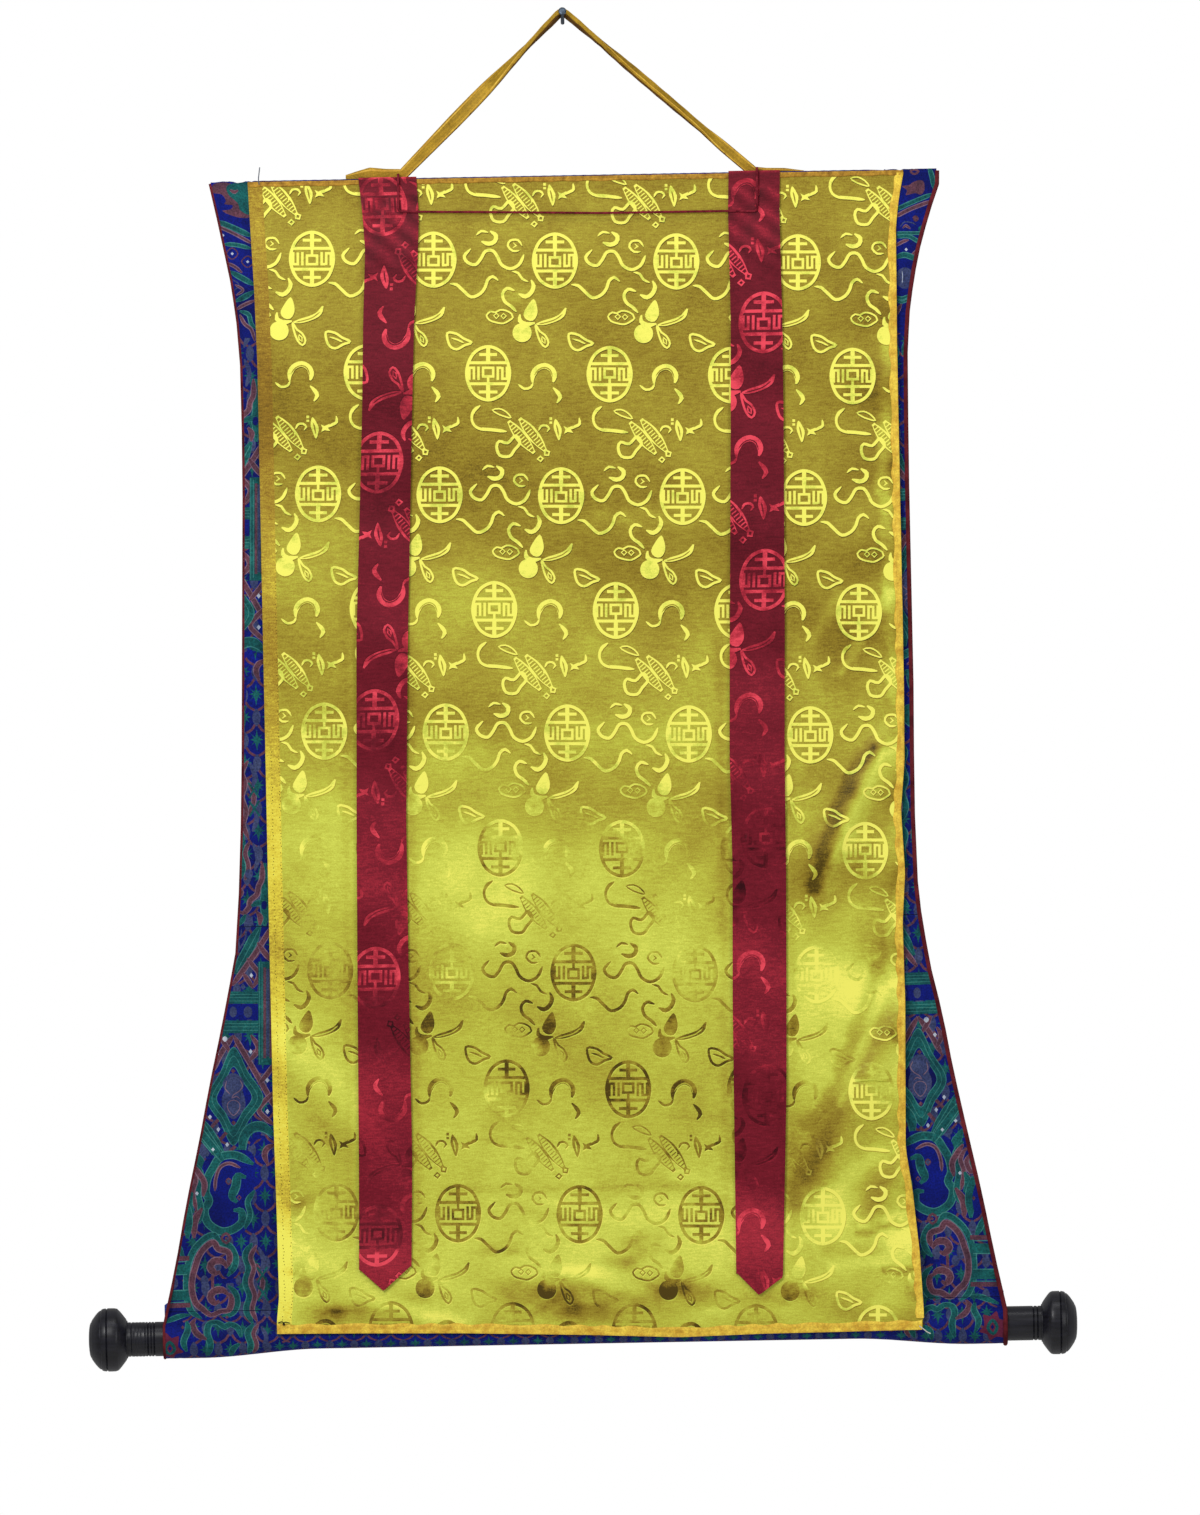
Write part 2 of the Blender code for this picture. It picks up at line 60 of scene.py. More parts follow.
# Cloth
MOUNT_THICK = 2.0
SILK_THICK = 1.2
STRAP_FLAT_HALF = 1.2
GAP = 0.3
HEM_MID_RADIUS = 1.15
HEM_DEPTH = 22.0
SEAM_ALLOWANCE = 7.0
PIPING_LEFT_RADIUS = 1.3
PIPING_RIGHT_RADIUS = 2.1
CORD_RADIUS = 1.1

# Rod and knobs
ROD_RADIUS = 9.0
TENON_RADIUS = 6.0
SOCKET_DEPTH = 22.0
NECK_RADIUS = 15.5
NECK_IN_LEFT = -355.0
NECK_IN_RIGHT = 352.0
SHOULDER_LEFT = -412.7
SHOULDER_RIGHT = 409.2
KNOB_LENGTH_LEFT = 35.1
KNOB_LENGTH_RIGHT = 32.4

# Nail
NAIL_TILT = math.radians(19.0)
NAIL_RADIUS = 1.7
NAIL_LENGTH = 28.5
NAIL_HEAD_RADIUS = 3.6
NAIL_HEAD_THICK = 1.8
STRAP_AT = 11.0
STRAP_CLEAR = 0.5

# Outlines as (z, x) pairs, from top to bottom
MOUNT_LEFT = [(-138, -322), (-168, -315.5), (-198, -309.5), (-228, -303.7),
              (-262, -299), (-310, -295.8), (-400, -295.6), (-590, -299.6),
              (-700, -302), (-780, -305.8), (-835, -310), (-900, -323.5),
              (-950, -335), (-1000, -345), (-1060, -358.5), (-1110, -368),
              (-1150, -377), (-1175, -380.8), (-1198, -380.8)]
MOUNT_RIGHT = [(-138, 337), (-152, 336.6), (-176, 328), (-205, 319.3),
               (-236, 312.5), (-268, 307.8), (-304, 305.5), (-400, 304.5),
               (-600, 305.2), (-700, 304), (-770, 304.8), (-815, 309),
               (-860, 316.6), (-900, 325.9), (-950, 334.5), (-1000, 345),
               (-1060, 358), (-1110, 367.3), (-1155, 376.3), (-1175, 378.7),
               (-1198, 378.4)]
VEIL_LEFT = [(-138, -286.5), (-178, -284.8), (-238, -282.1), (-305, -280.4),
             (-587, -279.7), (-807, -279), (-976, -278.2), (-1074, -276.6),
             (-1143, -275.7), (-1164, -277.9), (-1186, -278.1)]
VEIL_RIGHT = [(-138, 304.4), (-164, 299.2), (-190, 296), (-300, 295),
              (-597, 295.5), (-671, 294.7), (-715, 290.7), (-772, 293.3),
              (-818, 290.3), (-884, 291.3), (-1020, 289.2), (-1057, 294.7),
              (-1112, 299.9), (-1168, 302.7), (-1186, 302)]
VEIL_BOTTOM = [(-280, -1175), (-200, -1176), (-112, -1177.5), (0, -1181),
               (84, -1184.6), (160, -1182.8), (230, -1182.4), (304, -1181.6)]
RIBBON_LEFT_EDGES = (
    [(-138, -186.6), (-168, -183.5), (-203, -181.5), (-266, -184.4),
     (-348, -186.8), (-552, -195.6), (-714, -198.4), (-866, -200.3),
     (-1018, -201.8), (-1120, -203.4)],
    [(-138, -134.3), (-169, -132.6), (-204, -133.8), (-267, -138.5),
     (-349, -141.8), (-553, -149.2), (-715, -153.7), (-867, -154),
     (-1019, -153.8), (-1120, -156.2)])
RIBBON_LEFT_END = [(0.0, -1119.0), (0.46, -1139.0), (1.0, -1116.5)]
RIBBON_RIGHT_EDGES = (
    [(-138, 147), (-172, 145.9), (-269, 146.5), (-359, 144.9), (-558, 140.3),
     (-662, 138.2), (-765, 139), (-882, 136.9), (-971, 136.4),
     (-1077, 135.9), (-1131, 135.5)],
    [(-138, 193.3), (-173, 192.2), (-270, 193), (-359, 192.5),
     (-559, 189.9), (-663, 187.8), (-766, 187.2), (-883, 185.4),
     (-971, 183.7), (-1077, 179.7), (-1131, 177.5)])
RIBBON_RIGHT_END = [(0.0, -1128.0), (0.48, -1149.0), (1.0, -1133.0)]

# The strap's two tails and feet as (x, z, half width)
STRAP_LEFT_TAIL = [(-198, -137.0, 3.0), (-190, -137.0, 5.5),
                   (-176, -136.0, 8.5), (-162, -136.0, 7.0)]
STRAP_LEFT_FOOT = (-146.5, -134.5, 5.0)
STRAP_RIGHT_FOOT = (169.5, -138.0, 5.0)
STRAP_RIGHT_TAIL = [(181, -139.6, 5.2), (198, -140.0, 5.2), (215, -139.2, 1.8)]
STRAP_TAIL_Y = -3.3

def smoothstep(a, b, v):
    t = np.clip((v - a) / (b - a), 0.0, 1.0)
    return t * t * (3.0 - 2.0 * t)


def table(pairs, v):
    """Linear value of a table whose first entries fall or rise steadily."""
    pairs = sorted(pairs)
    return np.interp(v, [p[0] for p in pairs], [p[1] for p in pairs])


def panel_y(x, z):
    """Middle of the brocade panel: flat, leaning out from hem to rod."""
    share = (Z_TOP - z) / (Z_TOP - Z_SEAM)
    still = smoothstep(-180.0, -300.0, z) * (1.0 - smoothstep(-1000.0, -1130.0, z))
    wave = 0.8 * np.sin(z / 43.0 + x / 120.0) * still
    return Y_TOP + (Y_SEAM - Y_TOP) * share + wave


def sleeve_radius(x):
    """Inner radius of the rod sleeve, wider where it is pulled over the knob necks."""
    ends = smoothstep(240.0, 345.0, np.abs(x))
    return (ROD_RADIUS + GAP) + (NECK_RADIUS - ROD_RADIUS) * ends + 0.15


def crease(x, z, start, end, width, height):
    """A soft ridge along a straight line, fading at both ends."""
    ax, az = start
    bx, bz = end
    dx, dz = bx - ax, bz - az
    long = math.hypot(dx, dz)
    along = ((x - ax) * dx + (z - az) * dz) / long
    across = ((x - ax) * dz - (z - az) * dx) / long
    ends = smoothstep(-0.15 * long, 0.25 * long, along)
    ends = ends * (1.0 - smoothstep(0.75 * long, 1.15 * long, along))
    return height * ends * np.exp(-((across / width) ** 2))


def veil_y(x, z):
    """Middle of the veil: close at the hem, loose folds below, out over the rod."""
    loose = GAP + 2.0 * smoothstep(-150.0, -230.0, z)
    folds = 0.9 * (1.0 + np.sin(z / 37.0 + x / 90.0))
    folds = folds + crease(x, z, (292, -640), (204, -785), 15.0, 4.0)
    folds = folds + crease(x, z, (300, -880), (190, -1105), 20.0, 3.5)
    folds = folds + crease(x, z, (310, -985), (255, -1085), 14.0, 2.5)
    folds = folds + crease(x, z, (-290, -905), (-190, -1010), 24.0, 2.0)
    edge = np.exp(-np.clip(table(VEIL_RIGHT, z) - x, 0.0, 400.0) / 26.0)
    folds = folds + 3.0 * edge * np.sin(z / 23.0) ** 2
    folds = folds * smoothstep(-170.0, -320.0, z)
    hung = panel_y(x, z) - MOUNT_THICK / 2 - loose - folds - SILK_THICK / 2
    over_rod = Y_ROD - sleeve_radius(x) - MOUNT_THICK - 2.6 - 0.3 * folds
    share = smoothstep(-1050.0, -1166.0, z)
    return hung + (np.minimum(over_rod, hung) - hung) * share


def ribbon_y(x, z):
    """Middle of a ribbon, a little in front of the veil."""
    gap = GAP + 1.3 * smoothstep(-150.0, -215.0, z)
    return veil_y(x, z) - SILK_THICK - gap


# Camera and cord

# The camera stands well back in front of the middle of the picture, with a long
# lens, and is turned by the angle at which the scroll hangs in it. A pixel of it
# is 0.9 mm at the cloth.
HANGING_TILT = math.radians(1.05)
VIEW_CENTRE = (21.6, -25.0, -663.2)
VIEW_DISTANCE = 14000.0
VIEW_HEIGHT = 1515 * PHOTO_MM
SENSOR = 36.0

lens = bpy.data.cameras.new("camera")
lens.sensor_fit = "VERTICAL"
lens.sensor_height = SENSOR
lens.lens = SENSOR * VIEW_DISTANCE / VIEW_HEIGHT
lens.clip_end = 40.0
camera = bpy.data.objects.new("camera", lens)
bpy.context.scene.collection.objects.link(camera)
camera.matrix_world = (
    Matrix.Translation(Vector((VIEW_CENTRE[0], VIEW_CENTRE[1] - VIEW_DISTANCE,
                               VIEW_CENTRE[2])) * MM)
    @ Matrix.Rotation(math.radians(90.0), 4, "X")
    @ Matrix.Rotation(-HANGING_TILT, 4, "Z"))
bpy.context.scene.camera = camera


def rounded(points, radius, steps=6):
    """The same polyline with its corners rounded."""
    points = [Vector(p) for p in points]
    out = [points[0]]
    for a, b, c in zip(points, points[1:], points[2:]):
        reach = min(radius, (a - b).length * 0.45, (c - b).length * 0.45)
        p = b + (a - b).normalized() * reach
        q = b + (c - b).normalized() * reach
        for k in range(steps + 1):
            t = k / steps
            out.append(p * (1 - t) ** 2 + b * (2 * t * (1 - t)) + q * t * t)
    out.append(points[-1])
    return out


def cord_path():
    """The tie cord's route: left strap foot, down, across, up to the right foot."""
    crown = (Z_TOP + HEM_MID_RADIUS + MOUNT_THICK / 2 + GAP + SILK_THICK
             + GAP + CORD_RADIUS)
    front = float(ribbon_y(0.0, -140.0)) - SILK_THICK / 2 - GAP - CORD_RADIUS - 0.2
    low = float(ribbon_y(0.0, -170.0)) - SILK_THICK / 2 - GAP - CORD_RADIUS - 0.4
    end = STRAP_TAIL_Y - STRAP_FLAT_HALF - GAP
    return rounded([(-150.6, end, crown), (-150.6, front, crown),
                    (-151.0, low, -168.2), (-131, low, -168.9),
                    (-77, low, -170.1), (31, low, -173.0), (146, low, -173.2),
                    (172.0, low, -173.8), (172.6, front, crown),
                    (172.6, end, crown)], 3.5)


def even_steps(points, step):
    """Points the same distance apart along a polyline."""
    p = np.array([tuple(q) for q in points], float)
    run = np.concatenate([[0.0], np.cumsum(np.linalg.norm(np.diff(p, axis=0), axis=1))])
    at = np.linspace(0.0, run[-1], max(2, int(round(run[-1] / step)) + 1))
    return np.stack([np.interp(at, run, p[:, k]) for k in range(p.shape[1])], axis=1)


# Finishes

# A wave texture of this scale repeats once a millimetre
THREAD_SCALE = 314.0


def srgb(code):
    """Linear colour of an sRGB hex value."""
    parts = [int(code[k:k + 2], 16) / 255.0 for k in (1, 3, 5)]
    return (*[c / 12.92 if c <= 0.04045 else ((c + 0.055) / 1.055) ** 2.4
              for c in parts], 1.0)


def put(tree, kind, settings=None, inputs=None):
    """Adds one node with its settings, and with its inputs set or linked."""
    node = tree.nodes.new("ShaderNode" + kind)
    for key, value in (settings or {}).items():
        setattr(node, key, value)
    for key, value in (inputs or {}).items():
        if isinstance(value, bpy.types.NodeSocket):
            tree.links.new(value, node.inputs[key])
        else:
            node.inputs[key].default_value = value
    return node


def surface(name, **constants):
    """A material and its shader, with the values that are the same all over it."""
    mat = bpy.data.materials.new(name)
    mat.use_nodes = True
    tree = mat.node_tree
    shader = tree.nodes["Principled BSDF"]
    for key, value in constants.items():
        shader.inputs[key.replace("_", " ")].default_value = value
    return mat, tree, shader


def weave(tree, shader, pitch, height, strength=0.5):
    """Threads along the cloth's own UV map, pitch mm apart and height mm high. Real
    silk has several threads in a millimetre. They are drawn coarser so as to show."""
    uv = put(tree, "UVMap", {"uv_map": "cloth"}).outputs[0]
    warp = put(tree, "TexWave", {"bands_direction": "X"},
               {"Vector": uv, "Scale": THREAD_SCALE / pitch, "Distortion": 0.6,
                "Detail": 1.0, "Detail Scale": 2.0}).outputs["Fac"]
    weft = put(tree, "TexWave", {"bands_direction": "Y"},
               {"Vector": uv, "Scale": THREAD_SCALE / pitch / 1.3, "Distortion": 0.8,
                "Detail": 1.0, "Detail Scale": 2.0}).outputs["Fac"]
    both = put(tree, "Math", {"operation": "MULTIPLY"}, {0: warp, 1: weft}).outputs[0]
    bump = put(tree, "Bump", None, {"Strength": strength, "Distance": height * MM,
                                    "Height": both})
    tree.links.new(bump.outputs[0], shader.inputs["Normal"])
    return both


def satin(name, figured, ramp, roughness, edge_shade=0.0):
    """Silk satin damask: warp-faced ground, weft-faced figure, so each gleams
    across the other. The base colour holds painted light: the painted sheen and
    shade of the ground, and how far the figure's painted gleam stands out, are held
    in the cloth's lit and contrast values. The last argument is how much painted
    shade lies along the low edge of a figure, a painted highlight there instead
    where the figure lies darker than the ground."""
    mat, tree, shader = surface(name, Roughness=roughness, Anisotropic=0.5,
                                Anisotropic_Rotation=0.25 if figured else 0.0,
                                Specular_IOR_Level=0.1)
    place = put(tree, "TexCoord").outputs["Object"]
    # Painted light: lit is the painted sheen and shade, and contrast is how far the figure's painted
    # gleam, or the painted shade at a figure's low edge, stands out
    tone = put(tree, "Attribute", {"attribute_name": "lit"}).outputs["Fac"]
    if figured or edge_shade:
        stand = put(tree, "Attribute", {"attribute_name": "contrast"}).outputs["Fac"]
        tone = put(tree, "Math", {"operation": "MULTIPLY_ADD"},
                   {0: stand, 1: 0.72 if figured else edge_shade, 2: tone}).outputs[0]
    slubs = put(tree, "Mapping", None, {0: place, "Scale": (150.0, 20.0, 700.0)}).outputs[0]
    layers = [(slubs, 1.0, 5.0, 0.38), (place, 28.0, 3.0, 0.24), (place, 900.0, 2.0, 0.42)]
    if figured:
        layers.append((place, 75.0, 3.0, 1.1))
    for where, scale, detail, amount in layers:
        noise = put(tree, "TexNoise", None,
                    {"Vector": where, "Scale": scale, "Detail": detail}).outputs["Fac"]
        tone = put(tree, "Math", {"operation": "MULTIPLY_ADD"},
                   {0: noise, 1: amount, 2: tone}).outputs[0]
    tone = put(tree, "Math", {"operation": "SUBTRACT"},
               {0: tone, 1: sum(layer[3] for layer in layers) / 2}).outputs[0]
    colours = put(tree, "ValToRGB", None, {0: tone})
    stops = colours.color_ramp.elements
    while len(stops) < len(ramp):
        stops.new(0.5)
    for stop, (at, code) in zip(stops, ramp):
        stop.position = at
        stop.color = srgb(code)
    tree.links.new(colours.outputs[0], shader.inputs["Base Color"])
    weave(tree, shader, 0.9, 0.03)
    tangent = put(tree, "Tangent", {"direction_type": "UV_MAP", "uv_map": "cloth"})
    tree.links.new(tangent.outputs[0], shader.inputs["Tangent"])
    return mat


def plain_cloth(name, light, dark, pitch, height, roughness, spread=30.0, fleck=0.2):
    """Plain woven or folded cloth of one dye, a little uneven in tone, with lighter
    and darker flecks where single threads show."""
    mat, tree, shader = surface(name, Roughness=roughness, Specular_IOR_Level=0.08)
    place = put(tree, "TexCoord").outputs["Object"]
    cloud = put(tree, "TexNoise", None, {"Vector": place, "Scale": spread,
                                         "Detail": 4.0}).outputs["Fac"]
    part = put(tree, "MapRange", None, {0: cloud, 1: 0.3, 2: 0.7}).outputs[0]
    tone = put(tree, "Mix", {"data_type": "RGBA"},
               {0: part, 6: srgb(dark), 7: srgb(light)}).outputs[2]
    threads = weave(tree, shader, pitch, height, 0.8)
    specks = put(tree, "TexNoise", None, {"Vector": place, "Scale": 650.0,
                                          "Detail": 2.0}).outputs["Fac"]
    for value, low, high in ((threads, 0.76, 1.06), (specks, 1.0 - 2.4 * fleck,
                                                     1.0 + 2.4 * fleck)):
        depth = put(tree, "MapRange", None, {0: value, 3: low, 4: high}).outputs[0]
        tone = put(tree, "Mix", {"data_type": "RGBA", "blend_type": "MULTIPLY"},
                   {0: 1.0, 6: tone, 7: depth}).outputs[2]
    tree.links.new(tone, shader.inputs["Base Color"])
    return mat


def turned_wood():
    """Ebonised hardwood, turned and waxed: near black, with a faint grain along
    the turning axis, fine tool rings and a soft uneven shine."""
    mat, tree, shader = surface("ebonised hardwood", Specular_IOR_Level=0.28,
                                Coat_Weight=0.12, Coat_Roughness=0.2)
    place = put(tree, "TexCoord").outputs["Object"]
    along = put(tree, "Mapping", None, {0: place, "Scale": (6.0, 60.0, 60.0)}).outputs[0]
    grain = put(tree, "TexNoise", None, {"Vector": along, "Scale": 6.0, "Detail": 5.0}).outputs["Fac"]
    tone = put(tree, "Mix", {"data_type": "RGBA"},
               {0: put(tree, "MapRange", None, {0: grain, 1: 0.35, 2: 0.7}).outputs[0],
                6: srgb("#08080f"), 7: srgb("#181822")}).outputs[2]
    tree.links.new(tone, shader.inputs["Base Color"])
    wear = put(tree, "MapRange", None, {0: grain, 3: 0.28, 4: 0.5}).outputs[0]
    tree.links.new(wear, shader.inputs["Roughness"])
    rings = put(tree, "TexWave", {"bands_direction": "X"},
                {"Vector": place, "Scale": THREAD_SCALE, "Distortion": 1.5}).outputs["Fac"]
    bump = put(tree, "Bump", None, {"Strength": 0.25, "Distance": 0.00008, "Height": rings})
    tree.links.new(bump.outputs[0], shader.inputs["Normal"])
    return mat


def drawn_steel():
    """Drawn steel wire nail, dark blue-grey from its oil, brighter where rubbed."""
    mat, tree, shader = surface("drawn steel", Metallic=1.0)
    place = put(tree, "TexCoord").outputs["Object"]
    spots = put(tree, "TexNoise", None, {"Vector": place, "Scale": 700.0, "Detail": 4.0}).outputs["Fac"]
    tone = put(tree, "Mix", {"data_type": "RGBA"},
               {0: spots, 6: srgb("#283038"), 7: srgb("#5e6a78")}).outputs[2]
    tree.links.new(tone, shader.inputs["Base Color"])
    rough = put(tree, "MapRange", None, {0: spots, 3: 0.25, 4: 0.55}).outputs[0]
    tree.links.new(rough, shader.inputs["Roughness"])
    bump = put(tree, "Bump", None, {"Strength": 0.3, "Distance": 0.0001, "Height": spots})
    tree.links.new(bump.outputs[0], shader.inputs["Normal"])
    return mat


# From dark to light, the colours that each silk's painted sheen and shade turn through
YELLOWS = ((0.0, "#4c3c0c"), (0.22, "#86701e"), (0.42, "#a0922e"), (0.62, "#b6b63e"),
           (0.8, "#c8cf50"), (1.0, "#ebe764"))
GOLDS = ((0.0, "#50380c"), (0.28, "#8e6e20"), (0.45, "#b09830"), (0.62, "#dac840"),
         (0.85, "#ece65c"))
REDS = ((0.0, "#30040c"), (0.25, "#560a18"), (0.5, "#741626"), (0.75, "#a82838"),
        (1.0, "#e04656"))

# Yellow silk satin damask with painted light: ground and figures take a painted sheen
# in turn, and painted shade along each figure's low edge lets it stand up from the ground
VEIL_GROUND = satin("yellow silk satin, ground", False, YELLOWS, 0.5)
VEIL_FIGURE = satin("yellow silk satin, figure", True, YELLOWS, 0.45)
VEIL_EDGE_SHADE = satin("yellow silk satin, painted shade at a figure's low edge", False, YELLOWS, 0.5, -0.32)

# Crimson silk satin damask: the same weave and the same painted sheen and shade, deep red with painted
# rosy gleams
RIBBON_EDGE_SHADE = satin("crimson silk satin, painted shade at a figure's low edge", False, REDS, 0.5, -0.25)
RIBBON_GROUND = satin("crimson silk satin, ground", False, REDS, 0.5)
RIBBON_FIGURE = satin("crimson silk satin, figure", True, REDS, 0.45)

# The selvedge: firm golden threads, a warmer band down the veil's left side, under the veil's painted
# sheen and shade
SELVEDGE = satin("golden silk selvedge", False, GOLDS, 0.5)

# Needle holes: brown pricks in two rows along the selvedge
NEEDLE_HOLE = plain_cloth("needle hole in silk", "#6e6020", "#5a4c18", 0.9, 0.05, 0.8)

# Sewing threads: dull, soft ends, one near black, one off-white and one grey
BLACK_THREAD = plain_cloth("black sewing thread", "#16161c", "#08080c", 0.6, 0.05, 0.8)
WHITE_THREAD = plain_cloth("white sewing thread", "#e8e6e0", "#c8c4ba", 0.6, 0.05, 0.8)
GREY_THREAD = plain_cloth("grey sewing thread", "#6c727c", "#484e58", 0.6, 0.05, 0.8)

# Golden silk turned into a hem: several layers deep, so brighter than the veil, with
# darker patches here and there. The top edge is browner.
HEM_SILK = plain_cloth("golden silk hem", "#fcdc52", "#d0a034", 0.9, 0.05, 0.5, 130.0)
TURNED_EDGE = plain_cloth("golden silk, turned top edge", "#cc9c38", "#8c6420", 0.9, 0.05,
                          0.55, 170.0)

# Folded golden silk with painted light: a painted highlight on the raised folds, and painted shade on
# the faces that turn down
STRAP_SILK = plain_cloth("golden silk strap", "#c0982e", "#8a6a1a", 0.9, 0.06, 0.5, 45.0)
STRAP_FOLD_SHADE = plain_cloth("golden silk strap, fold in shade", "#7a5420", "#4a3012", 0.9,
                         0.06, 0.6, 60.0)
STRAP_PAINTED_HIGHLIGHT = plain_cloth("golden silk strap, painted highlight on a raised fold", "#e4bc4c", "#bc8a2c", 0.9, 0.06,
                        0.45, 60.0)

# The brocade's back: the dull side of the weave, without figures
BROCADE_BACK = plain_cloth("blue silk brocade, plain back", "#3c4e9e", "#2c3c84", 1.0,
                           0.12, 0.9, 7.0)

# Woven cotton binding and twisted cotton cord: matte maroon beside the silks
BINDING = plain_cloth("maroon cotton binding", "#7a2a30", "#4e151c", 0.9, 0.12, 0.85, 80.0)
CORD_COTTON = plain_cloth("maroon cotton cord", "#8c2836", "#5a121e", 0.7, 0.1, 0.85, 200.0)

# Silk brocade: a deep blue ground with figures in teal, terracotta and mauve silk,
# all flecked where single threads cross. Paler lines edge the figures.
BLUE = plain_cloth("blue silk brocade", "#0a1a80", "#050e50", 0.9, 0.12, 0.6, 25.0, 0.4)
TEAL = plain_cloth("teal brocade figure", "#186462", "#0e4248", 0.9, 0.15, 0.6, 90.0, 0.42)
CLAY = plain_cloth("terracotta brocade figure", "#6c4250", "#4a303e", 0.9, 0.15, 0.6, 90.0, 0.42)
MAUVE = plain_cloth("mauve grey brocade figure", "#434c70", "#2e3760", 0.9, 0.15, 0.6, 90.0, 0.42)
TEAL_EDGE = plain_cloth("light teal brocade line", "#4a8c84", "#2a6c6c", 0.9, 0.15, 0.6, 90.0)
CLAY_EDGE = plain_cloth("dusty pink brocade line", "#8c7080", "#6a5468", 0.9, 0.15, 0.6, 90.0)

# Small accents of the brocade: white dots and one dark red flower
WHITE_SILK = plain_cloth("white brocade dot", "#c8d0dc", "#98a4b8", 0.9, 0.15, 0.6, 90.0)
MAROON = plain_cloth("maroon brocade flower", "#702844", "#541c34", 0.9, 0.15, 0.6, 90.0)

# Stitching: thin dark lines where the brocade is pieced and sewn round the rod
DARK_STITCH = plain_cloth("dark blue sewing thread", "#101438", "#080a20", 0.9, 0.1, 0.8, 90.0)
WOOD = turned_wood()
STEEL = drawn_steel()

# Planed softwood: pale and dull, inside the sleeve
BARE_WOOD = plain_cloth("planed softwood dowel", "#a5845a", "#84643e", 1.5, 0.05, 0.7, 30.0)


# Charts of the woven figures

# Charted from the cloth, in units of 0.2066 mm, x to the right and y
# down. A line is open and tapers, a loop is a closed line, bars are straight,
# a shape is filled, and a slit shows the ground again. Ticks are ten short bars
# across a ribbon. The damask repeats across and down, with one roundel upright
# and one turned over in each repeat. The brocade repeats up the panel and is
# mirrored about the panel's middle, a little off level.
UNIT = 0.2066
MOUNT_MIDDLE = -4.8
BROCADE_REPEAT = 436.0
OFF_LEVEL = 5.8
REPEAT_ACROSS = (529.5, 4.0)
REPEAT_DOWN = (27.0, 1030.0)
UPRIGHT = (665.0, 610.0)
TURNED_OVER = (347.0, 75.0)
# How far each figure's painted shade is shifted, down and to the right, so it shows along the figure's
# low edge
EDGE_SHADE_SHIFT = (1.5, 4.0)


def diamond(x, y, half, up, down):
    """A lozenge's four corners, half its width and its reach up and down."""
    return [(x, y - up), (x + half, y), (x, y + down), (x - half, y)]


ROUNDEL = [
    ("loop", 14, [(0, -117), (66, -84), (94, 0), (66, 84), (0, 117), (-66, 84), (-94, 0),
        (-66, -84)]),
    ("bars", 13, [(-84, -46, 84, -46), (-84, 46, 84, 46), (-34, -82, 34, -82),
        (-32, 82, 32, 82)]),
    ("bars", 18, [(0, -112, 0, -56), (0, 56, 0, 112)]),
    ("bars", 11, [(-22, -14, 22, -14), (-22, 24, 22, 24), (-22, -14, -22, 24), (22, -14, 22, 24),
        (0, -46, 0, -18)]),
    ("bars", 11, [(-82, -24, -82, 22), (-80, 24, -62, 24), (-62, 22, -62, -22),
        (-42, -24, -42, 24), (82, -24, 82, 24), (82, -24, 62, -24), (62, -22, 62, 22),
        (42, -24, 42, 24), (42, 24, 52, 24)]),
]

